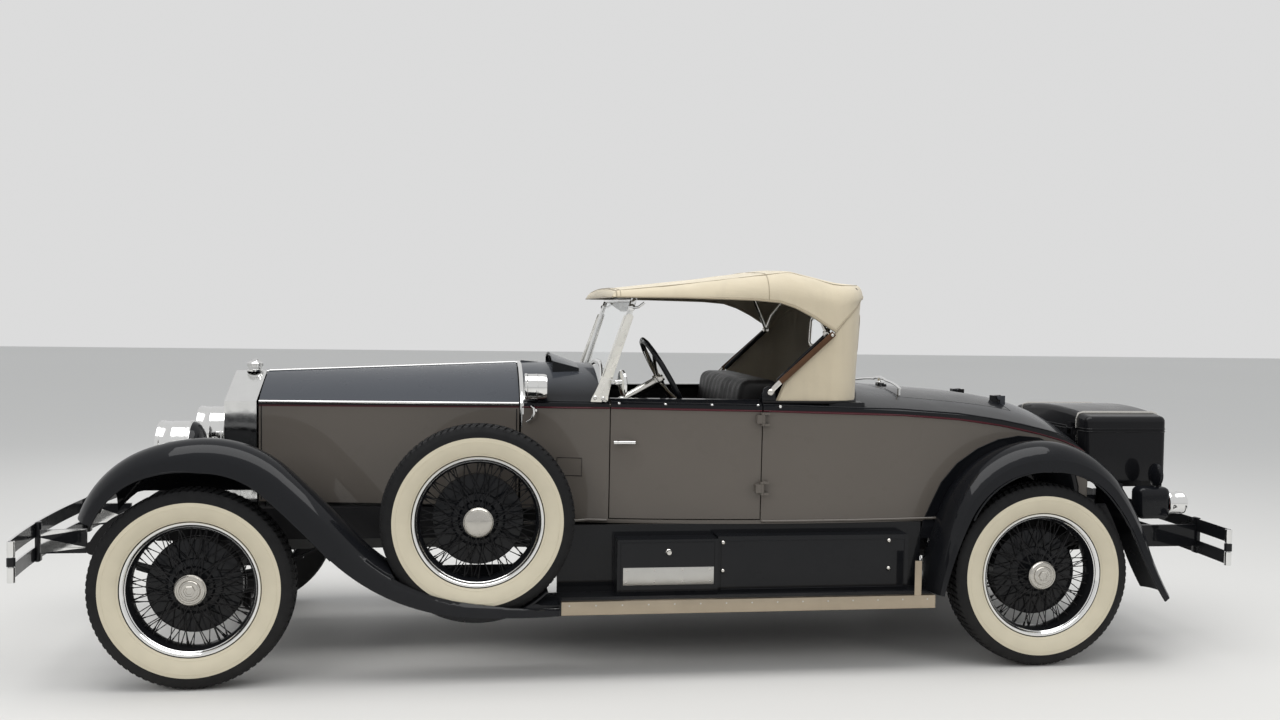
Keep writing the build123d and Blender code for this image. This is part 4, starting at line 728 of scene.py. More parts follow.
def ripple(point, normal, size):
    coarse = noise.noise(point * 5.0) * 0.6 + noise.noise(point * 13.0 + at(3, 1, 7)) * 0.4
    return point + normal * coarse * size


def body_top(x, y):
    """The body's upper surface under the curtain, carried on over the corner of the opening."""
    if abs(y) < 0.45:
        return top_point(x, y, -0.003)[0]
    return at(x, y, max(top_point(min(x, DECK_EDGE), y, -0.003)[0].z, DECK_LOW))


plan = plan_curve()
columns = []
for side in (1, -1):
    half = []
    for i, (px, py) in enumerate(plan):
        share = max(0.0, (i - SIDE_STEPS) / (len(plan) - 1 - SIDE_STEPS))
        x = TOP_REAR + px
        half.append((profile_at(x, side * py, share), x, min(1.0, share * 1.5), side, py))
    columns += half if side > 0 else half[:-1][::-1]

HIGH_ROWS, ROOF_ROWS, LOW_ROWS = 16, 22, 26
roof_rows, curtain_rows, edge_line, shoulder_line, seam_line = [], [], [], [], []
for column, x, back_share, _, _ in columns:
    foot, inward, corner, reach, top = column
    low = split_height(x, back_share)
    start = top - corner
    angle = asin(max(0.0, min(1.0, (low - start) / corner)))
    wall = max(0.0, start - low)
    total = wall + corner * (pi / 2 - angle)
    row = []
    for i in range(HIGH_ROWS):
        length = total * i / HIGH_ROWS
        if length < wall:
            row.append(cloth_point(column, low + length, back_share))
        else:
            turn = angle + (length - wall) / corner
            spot = foot + inward * corner * (1 - cos(turn))
            row.append(at(spot.x, spot.y, start + corner * sin(turn)))
    for i in range(ROOF_ROWS + 1):
        spot = foot + inward * (corner + (reach - corner) * i / ROOF_ROWS)
        row.append(at(spot.x, spot.y, roof_height(spot.x, spot.y)))
    roof_rows.append(row)
    edge_line.append(row[0])
    shoulder_line.append(row[HIGH_ROWS - 3])
    if x < HIP[0] + 0.012:
        base = body_top(foot.x + REAR_LEAN * 0.95 * back_share, foot.y).z
        levels = [base + (low - base) * i / LOW_ROWS for i in range(LOW_ROWS + 1)]
        curtain_rows.append([cloth_point(column, z, back_share) for z in levels])
        seam_line.append(row[0])

roof = Piece("top_roof_cloth")
roof.grid(roof_rows)
front_edge = roof_rows[0] + roof_rows[-1][::-1][1:]
valance = [front_edge]
for share, bulge in ((0.22, 0.009), (0.5, 0.015), (0.8, 0.018), (1.0, 0.018)):
    valance.append([p + at(bulge, 0, (VALANCE_Z - p.z) * share) for p in front_edge])
roof.grid(valance)
curtain = Piece("top_rear_curtain")
curtain.grid(curtain_rows)
for side in (1, -1):
    patch = []
    for point in curtain_rows[0 if side > 0 else -1]:
        z = point.z
        if z > KNEE[1]:
            front = KNEE[0] + (point.x - KNEE[0]) * min(1, (z - KNEE[1]) / (HIP[1] - KNEE[1]))
        else:
            front = FOOT[0] + (KNEE[0] - FOOT[0]) * (z - FOOT[1]) / (KNEE[1] - FOOT[1])
        xs = [point.x + (front - point.x) * i / 12 for i in range(13)]
        patch.append([at(x, point.y, max(z, body_top(x, point.y).z)) for x in xs])
    curtain.grid(patch)
    edge = [row[-1] for row in patch]
    seam_line = edge + seam_line if side > 0 else seam_line + edge[::-1]

WINDOW_HALF, WINDOW_LOW, WINDOW_HIGH = 0.4, 1.4175, 1.5825


def finish_cloth(piece, cut=None):
    """Makes a piece of cloth, cuts its opening, turns its faces outward and gives it folds and depth."""
    thing = piece.make("car", ["canvas", "lining"], "canvas", 60)
    work = bmesh.new()
    work.from_mesh(thing.data)
    if cut:
        bmesh.ops.delete(work, geom=[f for f in work.faces if cut(f.calc_center_median())], context="FACES")
    work.normal_update()
    centre = at(-0.4, 0, 1.2)
    if sum((f.calc_center_median() - centre).dot(f.normal) for f in work.faces) < 0:
        bmesh.ops.reverse_faces(work, faces=work.faces[:])
        work.normal_update()
    for vert in work.verts:
        vert.co = ripple(vert.co, vert.normal, CLOTH_RIPPLE)
    work.to_mesh(thing.data)
    work.free()
    shell = thing.modifiers.new("thickness", "SOLIDIFY")
    shell.thickness = CLOTH_DEPTH
    shell.offset = -1
    shell.material_offset = 1
    return thing


def in_window(point):
    return point.x < -0.9 and abs(point.y) < WINDOW_HALF - 0.006 and WINDOW_LOW < point.z < WINDOW_HIGH


roof_cloth = finish_cloth(roof)
curtain_cloth = finish_cloth(curtain, in_window)
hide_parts("soft_top")


def back_wall(y, z, lift=0.0):
    x = TOP_REAR + rear_lean(z) + BACK_RADIUS - sqrt(BACK_RADIUS * BACK_RADIUS - y * y)
    return at(x - lift, y, z)


def rounded_path(half_y, low, high, radius, count=8):
    points = []
    top, bottom, left, right = high - radius, low + radius, half_y - radius, radius - half_y
    for cy, cz, start in ((left, top, 0), (right, top, 90), (right, bottom, 180), (left, bottom, 270)):
        for i in range(count + 1):
            turn = radians(start + 90 * i / count)
            points.append((cy + radius * cos(turn), cz + radius * sin(turn)))
    dense = []
    for (y0, z0), (y1, z1) in zip(points, points[1:] + points[:1]):
        steps = max(1, int(abs(y1 - y0) / 0.04))
        dense += [(y0 + (y1 - y0) * i / steps, z0 + (z1 - z0) * i / steps) for i in range(steps)]
    return dense


trim = Piece("top_seams")
hem = [p for p in edge_line if p.x > HIP[0]]
for line in ([p for p in hem if p.y > 0], [p for p in hem if p.y < 0], seam_line):
    trim.tube(line, 0.0042)
trim.tube(shoulder_line, 0.0026)
trim.tube(front_edge, 0.003)
trim.tube(valance[-1], 0.004)
for station in (0.172, -0.617):
    near = min(range(40), key=lambda i: abs(columns[i][1] - station))
    across_line = roof_rows[near] + roof_rows[-1 - near][::-1]
    trim.tube([p + at(0, 0, 0.0006) for p in across_line], 0.0016, 6)
trim.make("car", ["binding"], "canvas", 60)

window = Piece("rear_window_frame")
outline = rounded_path(WINDOW_HALF, WINDOW_LOW, WINDOW_HIGH, 0.034)
window.tube([back_wall(y, z, 0.003) for y, z in outline], 0.015, 10, 0, True, 0.3, X_WAY)
window.tube([back_wall(y * 0.985, z, -0.006) for y, z in outline], 0.012, 10, 1, True, 0.35, X_WAY)
window.make("car", ["binding", "nickel"], "canvas", 50)
pane = Piece("rear_window_pane")
rows = []
for i in range(9):
    z = WINDOW_LOW + 0.004 + (WINDOW_HIGH - WINDOW_LOW - 0.008) * i / 8
    inset = 0.01 if i in (0, 8) else 0.0
    rows.append([back_wall((WINDOW_HALF - 0.004 - inset) * (j / 12 - 1), z) for j in range(25)])
pane.grid(rows)
pane_shell = pane.make("car", ["glass"], "glass", 60).modifiers.new("thickness", "SOLIDIFY")
pane_shell.thickness = 0.003

welt = Piece("top_base_welt")
base_line = [rows[0] + at(0, 0, 0.005) for rows in curtain_rows]
for side in (1, -1):
    front = [at(x, side * (TOP_HALF + 0.005), 1.1905) for x in (-0.48, -0.555, -0.62, -0.7, -0.76, -0.8)]
    base_line = front + base_line if side > 0 else base_line + front[::-1]
    corner_rows = []
    for i in range(15):
        x = -0.79 + (DECK_EDGE + 0.79) * i / 14
        near = min((c for c in columns if c[3] == side), key=lambda c: abs(c[1] - x))
        ys = [near[4] - 0.035 + (0.617 - near[4] + 0.035) * j / 6 for j in range(7)]
        corner_row = [at(x, side * y, body_top(x, side * y).z + 0.004) for y in ys]
        corner_rows.append(corner_row + [at(x, side * 0.62, 1.16)])
    corner_rows.append([p + at(-0.004, 0, -0.03) for p in corner_rows[-1]])
    welt.grid(corner_rows, 1)
welt.tube(base_line, 0.008)
welt.make("car", ["leather", "black"], "leather", 60)

# Bows, irons and arms of the top
irons = Piece("top_bows_and_arms")
for x, z, half, radius in ((-0.612, 1.776, 0.47, 0.011), (-0.935, 1.705, 0.52, 0.01)):
    bow = [at(x, half * i / 4, z + 0.012 * (1 - i * i / 16)) for i in range(-4, 5)]
    irons.tube(bow, radius, 10)
MAIN_LEG = mm((-745, 565, 1600), (-700, 548, 1690), (-652, 516, 1752), (-612, 470, 1776))
REAR_LEG = mm((-812, 562, 1580), (-865, 548, 1650), (-912, 530, 1694), (-935, 520, 1705))
FRONT_LINK = mm((101, 566, 1680), (-200, 566, 1688), (-450, 562, 1700), (-652, 530, 1735))
BRACKET = mm((-478, 1186), (-476, 1224), (-487, 1252), (-505, 1263), (-529, 1262), (-538, 1238))
BRACKET += mm((-542, 1186))
for side in (1, -1):
    y, arm_y, knot = side * 0.572, side * (TOP_HALF + 0.012), (-0.786, 0.572, 1.5)
    for leg in (MAIN_LEG, REAR_LEG):
        irons.tube(on_side(side, knot, *leg), 0.01, 8, 2, flat=0.5, up=Y_WAY)
    irons.tube(on_side(side, *FRONT_LINK), 0.007)
    stay = on_side(side, (-0.56, 0.572, 1.285), (-0.67, 0.572, 1.39), knot)
    irons.tube(stay, 0.011, 8, 0, flat=0.6, up=Y_WAY)
    irons.block((-0.8, y - 0.012, 1.484), (-0.768, y + 0.012, 1.514), 2, 0.004)
    start, end = at(-0.558, arm_y, 1.283), at(-0.804, arm_y, 1.5055)
    arm = [start, start.lerp(end, 0.3), start.lerp(end, 0.7), end]
    irons.tube(arm, 0.014, 8, 1, flat=0.42, up=Y_WAY)
    tip = end - (end - start).normalized() * 0.012 + at(0, side * 0.006, 0)
    irons.stud(tip, (0, side, 0), 0.008, 0.006, 2)
    link = [(x, arm_y, z) for x, z in mm((-562, 1287), (-536, 1262), (-514, 1238))]
    irons.tube(link, 0.0115, 8, 2, flat=0.45, up=Y_WAY)
    pivot = mm((15, 0), (15, 46), (9, 52), (0, 54))
    irons.lathe((-0.513, side * (TOP_HALF - 0.026), 1.236), (0, side, 0), pivot, 20, 2)
    irons.plate(BRACKET, side * (TOP_HALF - 0.022), side * (TOP_HALF + 0.004), 0, 0.003)
irons.block((0.071, -0.572, 1.668), (0.131, 0.572, 1.69), 0, 0.008)
irons.make("car", ["black", "wood", "nickel"], "chassis_black", 40, ["top_irons"])

# Seats
CUSHION_EDGE, CUSHION_CROWN, PLEAT_DEPTH = 0.045, 0.016, 0.012


def cushion(name, low, high, lean, pleats, face=2):
    """A padded block with rounded edges and a crowned, pleated face; face is the number of its axis."""
    low, high = Vector(low), Vector(high)
    centre, half = (low + high) / 2, (high - low) / 2
    work = bmesh.new()
    bmesh.ops.create_cube(work, size=2)
    bmesh.ops.subdivide_edges(work, edges=work.edges[:], cuts=35, use_grid_fill=True)
    for vert in work.verts:
        p = Vector([c * h for c, h in zip(vert.co, half)])
        core = Vector([max(-(h - CUSHION_EDGE), min(h - CUSHION_EDGE, c)) for c, h in zip(p, half)])
        away = p - core
        q = core + (away.normalized() * CUSHION_EDGE if away.length > 1e-9 else at(0, 0, 0))
        share = [c / h for c, h in zip(q, half)]
        u, v, w = share
        if share[face] > 0.2:
            puff = (1 - share[2 - face] ** 2) * (1 - v * v)
            groove = abs(sin(pi * pleats * (v + 1) / 2)) ** 0.45 - 1
            inner = 1 if abs(v) < 0.97 else 0
            q[face] += CUSHION_CROWN * puff + PLEAT_DEPTH * groove * inner * share[face]
        if u < -0.9:
            q.x += 0.006 * cos(pi * v / 2)
        q.x += lean[0] * (w + 1) / 2
        q.z += lean[1] * (u + 1) / 2
        vert.co = ripple(centre + q, q.normalized(), 0.003)
    mesh = bpy.data.meshes.new(name)
    work.to_mesh(mesh)
    work.free()
    for polygon in mesh.polygons:
        polygon.use_smooth = True
    mesh.materials.append(finishes["leather"])
    thing = add_object(name, mesh)
    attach(thing, "car")
    return thing


seat_cushion = cushion("seat_cushion", (-0.325, -0.512, 0.715), (-0.042, 0.512, 0.878), (0, 0.008), 11)
cushion("seat_back", (-0.535, -0.512, 0.725), (-0.345, 0.512, 1.282), (-0.06, 0), 11, 0)
cushion("rumble_seat", (-1.555, -0.395, 0.716), (-1.235, 0.395, 0.836), (0, 0), 8)
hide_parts("seat")

# Steering wheel, column and instruments
STEER = at(-0.073, 0.308, 1.285)
column_way = at(cos(radians(30)), 0, -sin(radians(30)))
helm = Piece("helm")
ring = []
for i in range(96):
    turn = 2 * pi * i / 96
    ring.append(STEER + way_round(column_way, turn) * (0.2 + 0.0016 * cos(16 * turn)))
helm.tube(ring, 0.0125, 12, 0, closed=True)
for i in range(4):
    way = way_round(column_way, pi / 2 * i + pi / 4)
    spoke = [STEER + way * reach + column_way * depth for reach, depth in mm((20, 26), (100, 18), (192, 0))]
    helm.tube(spoke, 0.0085, 8, 1, flat=0.6)
boss = mm((30, 0), (31, 20), (26, 34), (16, 38), (15, 44), (0, 46))
helm.lathe(STEER + column_way * 0.044, -column_way, boss, 32, 1)
helm.make("steering_wheel", ["black", "nickel"], "black_paint", 40, ["steering_wheel"])

dash = Piece("instruments")
# Y, Z and radius
DIALS = mm((0, 1185, 55), (130, 1185, 45), (-130, 1185, 45), (-260, 1180, 30), (240, 1150, 24))
for y, z, radius in DIALS:
    spot = (0.2995, y, z)
    bezel = [(radius, 0), (radius, 0.008), (radius * 0.9, 0.01), (radius * 0.86, 0.006)]
    dash.lathe(spot, (-1, 0, 0), bezel, 40, 0)
    dash.lathe(spot, (-1, 0, 0), [(radius * 0.87, 0.004), (0, 0.0045)], 32, 1)
    dash.tube([(0.2945, y, z), (0.2945, y + radius * 0.45, z + radius * 0.5)], 0.0012, 6, 2)
    for i in range(12):
        tick = at(0, cos(radians(30 * i)), sin(radians(30 * i))) * radius
        dash.tube([at(0.2948, y, z) + tick * 0.68, at(0.2948, y, z) + tick * 0.82], 0.0009, 4, 2)
dash.tube([(0.02, 0.1, 0.72), (0.00, 0.1, 0.9), (-0.05, 0.1, 1.06)], 0.008)
dash.stud((-0.052, 0.1, 1.06), (-0.3, 0, 1), 0.018, 0.028, 2)
dash.tube([(0.04, -0.02, 0.72), (0.02, -0.02, 0.92), (0.01, -0.02, 1.00)], 0.007)
for y in (0.22, 0.34, 0.42):
    dash.tube([(0.4, y, 0.8), (0.33, y, 0.86)], 0.006)
    dash.block((0.3, y - 0.03, 0.845), (0.325, y + 0.03, 0.905), 2, 0.004)
dash.make("car", ["nickel", "dial", "chassis"], "bright_metal")

# Body trim
PANELS = {"car": "", "door_left": "_door_left", "door_right": "_door_right"}
piping = {body: Piece("belt_piping" + ending) for body, ending in PANELS.items()}
for side, label in SIDES:
    runs = ((0.597, 0.212, "car"), (0.203, -0.47, "door_" + label), (-0.479, -2.045, "car"))
    for start, end, body in runs:
        steps = 50 if end < -2 else 20
        xs = [start + (end - start) * i / steps for i in range(steps + 1)]
        for rise, radius, mark in ((0.003, 0.0036, 0), (0.03, 0.003, 1)):
            line = side_line([(x, between(BELT, x)[0] + rise) for x in xs], side, 0.001)
            piping[body].tube(line, radius, 8, mark)
for body, piece in piping.items():
    piece.make(body, ["maroon", "black"], "black_paint", 50)

fittings = {"car": Piece("body_fittings")}
for _, label in SIDES:
    fittings["door_" + label] = Piece("door_fittings_" + label)
body = fittings["car"]
STUDS = mm((169, 1181), (-36, 1180), (-244, 1179), (-454, 1179), (-554, 1173))
GRIP = mm((194.5, 609, 1007.5), (170, 609.5, 1007.8), (120, 609.5, 1007.8), (98.5, 609, 1007))
# X, Z and distance from the body of the bonnet's lever
LEVER = mm((552, 1160, 10), (539, 1152, 18), (535, 1128, 24), (548, 1102, 22), (570, 1088, 14))
for side, label in SIDES:
    door = fittings["door_" + label]
    for x, z in STUDS:
        (body if x < -0.48 else door).stud(*side_point(x, z, side), 0.0075, 0.006)
    door.tube(on_side(side, *GRIP), 0.0088, 12)
    door.tube(on_side(side, (0.181, 0.572, 1.007), (0.181, 0.604, 1.007)), 0.01, 12)
    for xs in ((0.59, 0.45, 0.3, 0.215), [-0.48 - 0.075 * i for i in range(13)]):
        body.tube(side_line([(x, 0.652) for x in xs], side, 0.002), 0.006, 8, 1)
    hatch = mm((330, 850), (440, 850), (440, 930), (330, 930))
    body.tube(side_line(hatch, side, 0.0005), 0.0016, 6, 2, closed=True)
    body.tube([side_point(x, z, side, lift)[0] for x, z, lift in LEVER], 0.0055, 10)
    body.tube(side_line([(0.5965, z) for z in (1.15, 1.12, 1.09, 1.06)], side, 0.0015), 0.0032)
    body.lathe(*side_point(0.537, 1.14, side), mm((12, 0), (12, 6), (7, 12), (0, 14)), 18)
# ventilator flap on the crown of the cowl: hinged at the back, raised in front
vent = Piece("cowl_ventilator")
VENT_BACK, VENT_FRONT, VENT_HALF, VENT_TOP = 0.323, 0.447, 0.262, 1.3865
upper_rows = []
for i in range(9):
    share = i / 8
    row = []
    for j in range(-12, 13):
        y = VENT_HALF * j / 12
        hinge = max(top_point(VENT_BACK - 0.006, y)[0].z + 0.003, 1.3165 + 0.024 - 0.1 * abs(y) ** 1.3)
        raised = VENT_TOP - 0.032 * (j / 12) ** 2
        row.append(at(VENT_BACK + (VENT_FRONT - VENT_BACK) * share, y, hinge + (raised - hinge) * share))
    upper_rows.append(row)
vent.grid(upper_rows)
vent.grid([[p - at(0, 0, 0.003) for p in row] for row in upper_rows], 1)
vent.tube(upper_rows[-1], 0.0032)
for end in (0, -1):
    cheek = []
    for point in (row[end] for row in upper_rows):
        skin_z = top_point(point.x, point.y)[0].z - 0.004
        cheek.append([point, at(point.x, point.y, min(skin_z, point.z - 0.001))])
    vent.grid(cheek, 1)
vent.make("car", ["slate", "black"], "black_paint")
# chrome band round the cowl's front edge
section = [(0.4535, 1.12)]
section += arc_points((0.455, 1.17), (0.455 * 0.62, 1.17 + 0.167 * 0.66), (0, 1.337), 20)
section += [(-y, z) for y, z in reversed(section[:-1])]
rows = []
for x, lift in mm((586.5, -2), (586.5, 3.5), (589.5, 5.5), (601.5, 5.5), (604.5, 3.5), (604.5, -2)):
    row = []
    for i, (y, z) in enumerate(section):
        before, after = section[max(0, i - 1)], section[min(len(section) - 1, i + 1)]
        along = at(0, after[0] - before[0], after[1] - before[1]).normalized()
        out = at(0, along.z, -along.y)
        out = out if out.dot(at(0, y, z - 0.9)) > 0 else -out
        row.append(at(x, y, z) + out * lift)
    rows.append(row)
body.grid(rows)
# chrome rail across the deck behind the top
RAIL_X, RAIL_HALF = -1.215, 0.36
rail_ys = [RAIL_HALF * (i / 8 - 1) for i in range(17)]
rail = [top_point(RAIL_X - 0.03 * (1 - (y / RAIL_HALF) ** 2), y, 0.03)[0] for y in rail_ys]
body.tube(rail, 0.006, 10)
for y in (-RAIL_HALF, RAIL_HALF):
    foot_point, _ = top_point(RAIL_X, y, -0.002)
    body.tube([foot_point, foot_point + at(0, 0, 0.034)], 0.008, 10)
for name, piece in fittings.items():
    piece.make(name, ["chrome", "coachwork", "black"], "chrome")

# Handle of the rumble lid
lid_trim = Piece("rumble_handle")
spot, normal = top_point(-1.245, 0.0)
lid_trim.lathe(spot, normal, mm((24, 0), (24, 4), (14, 10), (12, 24), (0, 26)), 24)
lid_trim.grip(spot, normal, (0, 0.05, 0), 0.007, 10)
lid_trim.make("rumble_lid", ["chrome"], "chrome")

# Bonnet
for side, label in SIDES:
    strip = Piece("bonnet_strip_" + label)
    low_edge = on_side(side, (1.774, 0.2905, 1.1615), (0.611, 0.4575, 1.1685))
    ridge = on_side(side, (1.774, 0.0155, 1.2877), (0.611, 0.0155, 1.3377))
    for (start, end), steps, radius in ((low_edge, 60, 0.0072), (ridge, 8, 0.0035)):
        strip.tube([start.lerp(end, i / steps) for i in range(steps + 1)], radius)
    strip.make("bonnet_top_" + label, ["chrome"], "chrome", 50)
    catches = Piece("bonnet_catches_" + label)
    for x in (1.62, 0.74):
        point, normal = side_point(x, 0.745, side, 0.0, bonnet_skin)
        catches.lathe(point, normal, mm((20, 0), (20, 5), (9, 10), (8, 24), (0, 26)), 20)
        catches.grip(point, normal, (0.03, 0, 0), 0.006, 8)
    for x in (1.765, 0.62):
        edge = [(x, z) for z in (0.715, 0.85, 1.00, 1.145)]
        catches.tube(side_line(edge, side, 0.0008, bonnet_skin), 0.0022, 6, 1)
    catches.make("bonnet_side_" + label, ["nickel", "black"], "chrome")

# Radiator
nose = Piece("radiator_cap_and_beads")
cap = mm((36, 0), (37, 6), (31, 10), (31, 20), (34, 22), (35, 38), (31, 43), (20, 47), (16, 56), (0, 59))
nose.lathe((1.841, 0, 1.283), Z_WAY, cap, 40)
for i in range(20):
    way = at(cos(2 * pi * i / 20), sin(2 * pi * i / 20), 0)
    nose.tube([at(1.841, 0, 1.307) + way * 0.0345, at(1.841, 0, 1.32) + way * 0.035], 0.0026, 6)
shell_line = mm((-272, 590), (-298, 1163), (0, 1287), (298, 1163), (272, 590))
inner_line = [(1.926, y * 0.895, z + (0.022 if z < 0.7 else -0.026)) for y, z in shell_line]
nose.tube(inner_line, 0.0038, closed=True)
nose.make("car", ["chrome"], "chrome")

# Lamps
lamps = Piece("head_and_cowl_lamps")
LAMP_X, LAMP_Y, LAMP_Z = 2.173, 0.4, 0.953
STEM_X, COWL_STEM = 2.098, (0.5365, 0.455)
for side in (1, -1):
    spot = at(LAMP_X, side * LAMP_Y, LAMP_Z)
    drum = mm((112, -4), (118, 0), (128, 0), (132, -4), (132, -16), (128.5, -19), (128.5, -60), (130.5, -63))
    drum += mm((130.5, -68), (128.5, -71), (128.5, -122), (131.5, -126), (131.5, -136), (127, -140))
    dome = mm((127, -140), (122, -156), (108, -170), (85, -181), (55, -189), (25, -193), (0, -194))
    bowl = mm((114, -6), (112, -30), (98, -60), (70, -88), (35, -102), (0, -106))
    glass = mm((116, -6), (110, -2), (80, 0), (0, 0))
    lamps.lathe(spot, X_WAY, drum, 72, 0)
    lamps.lathe(spot, X_WAY, dome, 72, 1)
    lamps.lathe(spot, X_WAY, bowl, 60, 0)
    lamps.lathe(spot - at(0.09, 0, 0), X_WAY, mm((14, 0), (16, 16), (10, 30), (0, 34)), 20, 3)
    lamps.lathe(spot, X_WAY, glass, 60, 2)
    for turn in range(0, 360, 60):
        way = at(0, cos(radians(turn)), sin(radians(turn)))
        lamps.stud(spot + way * 0.122, X_WAY, 0.0035, 0.0015, 0, 8)
    lamps.tube(on_side(side, (STEM_X, LAMP_Y, 0.775), (STEM_X, LAMP_Y, 0.826)), 0.017, 14, 1)
    foot = on_side(side, (STEM_X, 0.362, 0.692), (STEM_X, 0.364, 0.73), (STEM_X, 0.372, 0.772))
    lamps.tube(foot, 0.018, 14, 1)
    lamps.lathe((STEM_X, side * LAMP_Y, 0.812), Z_WAY, mm((26, 0), (28, 6), (20, 14)), 24, 0)
lamps.tube([(STEM_X, LAMP_Y * t, 0.775) for t in (-1, -0.6, -0.2, 0.2, 0.6, 1)], 0.014, 14)
for side in (1, -1):
    spot = (0.588, side * 0.5, 1.248)
    drum = mm((47, -3), (50, 0), (58, 0), (60, -3), (60, -10), (57.5, -13), (57.5, -50), (59, -52), (59, -56))
    drum += mm((57.5, -58), (57.5, -88), (54, -98), (40, -102), (0, -103.5))
    lamps.lathe(spot, X_WAY, drum, 56, 0)
    lamps.lathe(spot, X_WAY, mm((50, -4), (40, 0), (0, 0.5)), 40, 2)
    lamps.lathe(spot, X_WAY, mm((50, -6), (40, -30), (0, -44)), 40, 0)
    x, y = COWL_STEM
    lamps.tube(on_side(side, (x, y, 1.158), (x, y + 0.001, 1.205)), 0.0115, 14, 1)
    lamps.lathe((x, side * y, 1.166), Z_WAY, mm((24, 0), (22, 6), (12, 12)), 24, 0)
lamps.make("car", ["chrome", "black", "lens", "dial"], "chrome", 35, ["front_lamps"])

tails = Piece("tail_lamps")
for side in (1, -1):
    y = side * 0.5
    lower_lamp, upper_lamp, back_way = (-2.528, y, 0.7), (-2.462, y, 0.835), (-1, 0, 0)
    tails.block((-2.53, y - 0.05, 0.625), (-2.367, y + 0.05, 0.78), 1, 0.03, 5)
    drum = mm((50, -2), (55, 4), (55, 10), (52, 13), (52, 60), (54.5, 63), (54.5, 82), (50, 86), (44, 84.5))
    tails.lathe(lower_lamp, back_way, drum, 48, 0)
    tails.lathe(lower_lamp, back_way, mm((45, 83), (30, 86.5), (0, 86.8)), 40, 2)
    tails.lathe(upper_lamp, back_way, mm((50, 0), (55, 4), (55, 18), (50, 19.8), (46, 19)), 48, 1)
    tails.lathe(upper_lamp, back_way, mm((47, 18.5), (30, 19.6), (0, 19.9)), 40, 2)
    tails.lathe(upper_lamp, X_WAY, mm((50, 0), (30, 10), (0, 12)), 40, 1)
    tails.tube([(-2.47, y, 0.77), (-2.47, y, 0.795)], 0.008, 10)
    tails.block((-2.387, y - side * 0.045 - 0.001, 0.632), (-2.305, y + side * 0.003, 0.678), 1, 0.006)
tails.make("car", ["chrome", "black", "red"], "chrome", 40, ["rear_lamps"])

# Windscreen frame, its fittings and the mirror
screen = Piece("windscreen_fittings")
SCREEN_X, SCREEN_Z, SCREEN_LENGTH, PANE_HALF = 0.253, 1.19, 0.492, 0.553
lean = radians(18)
# Outlines as height up the screen and depth in front of its plane; the heel is in X and Z
BLADE = mm((100, -20.5), (100, 22.5), (300, 16), (402, 12.5), (410, 6), (412, -14), (404, -21.5))
EDGE = mm((72, 29), (100, 29), (398, 20), (398, 14.5), (300, 19), (100, 25.5))
NECK = mm((395, -12), (395, 12), (470, 9), (486, 4), (486, -10), (470, -12))
HEEL = mm((297, 1186), (293.5, 1199), (276, 1230), (259, 1270), (249, 1302), (201, 1289), (208.5, 1250))
HEEL += mm((215, 1220), (220, 1184))


def screen_point(height, depth, y):
    """A point by its height up the leaning screen and its depth in front of the screen's plane."""
    x = SCREEN_X - height * sin(lean) + depth * cos(lean)
    return at(x, y, SCREEN_Z + height * cos(lean) + depth * sin(lean))


def screen_outline(points):
    return [(p.x, p.z) for p in (screen_point(height, depth, 0) for height, depth in points)]


for side in (1, -1):
    inner, outer, outward = side * PANE_HALF, side * (PANE_HALF + 0.012), (0, side, 0)
    for shape, short, mark in ((BLADE, 0.0, 1), (EDGE, 0.002, 1), (NECK, 0.003, 0)):
        screen.plate(screen_outline(shape), inner, outer - side * short, mark)
    knob = mm((16, 0), (16, 6), (9, 12), (0, 14))
    screen.lathe(screen_point(0.442, 0.0, outer - side * 0.004), outward, knob, 20, 0)
    handle = ((0.442, -0.004, 0.006), (0.452, -0.026, 0.012), (0.48, -0.046, 0.012))
    screen.tube([screen_point(height, depth, outer + side * reach) for height, depth, reach in handle], 0.006)
    screen.plate(HEEL, side * (PANE_HALF + 0.003), side * (PANE_HALF + 0.0165), 1, 0.002)
    for x, z in mm((276.2, 1204), (240, 1200)):
        spot = (x, side * (PANE_HALF + 0.016), z)
        screen.lathe(spot, outward, mm((9.5, 0), (9.5, 2), (7.5, 3.5), (0, 3.5)), 18, 0)
        screen.lathe(spot, outward, mm((6.2, 3), (6, 6), (3.5, 7.5), (0, 7.8)), 6, 2)
    heights = (0.0, 0.2, 0.4, SCREEN_LENGTH - 0.008)
    screen.tube([screen_point(h, 0, side * (PANE_HALF - 0.012)) for h in heights], 0.0135)
top_rail = [screen_point(SCREEN_LENGTH - 0.012, 0, PANE_HALF * i / 8) for i in range(-8, 9)]
screen.tube(top_rail, 0.0145)
low_strip = []
for i in range(-30, 31):
    y = (PANE_HALF - 0.004) * i / 30
    height = 0.1
    for _ in range(6):
        surface, _ = top_point(SCREEN_X - height * sin(lean), y)
        height = (surface.z - SCREEN_Z) / cos(lean)
    low_strip.append(screen_point(height + 0.007, 0, y))
screen.tube(low_strip, 0.0125)
mirror = at(0.161, 0.613, 1.272)
mirror_way = at(-1, -0.13, 0.05).normalized()
face_ring = mm((56, -6.5), (60, -2), (60, 6), (55, 9.5), (52, 8), (0, 8))
screen.lathe(mirror, mirror_way, face_ring, 48, 0)
screen.lathe(mirror, -mirror_way, mm((56, 6), (40, 9), (0, 10)), 48, 0)
screen.tube([(0.215, 0.56, 1.288), (0.205, 0.578, 1.284), (0.178, 0.606, 1.275)], 0.0062, 10)
screen.lathe((0.18, 0.602, 1.276), mirror_way, mm((11, -12), (14, 0), (11, 10)), 18, 0)
screen.make("car", ["chrome", "satin", "nickel"], "chrome", 35, ["windscreen_frame"])

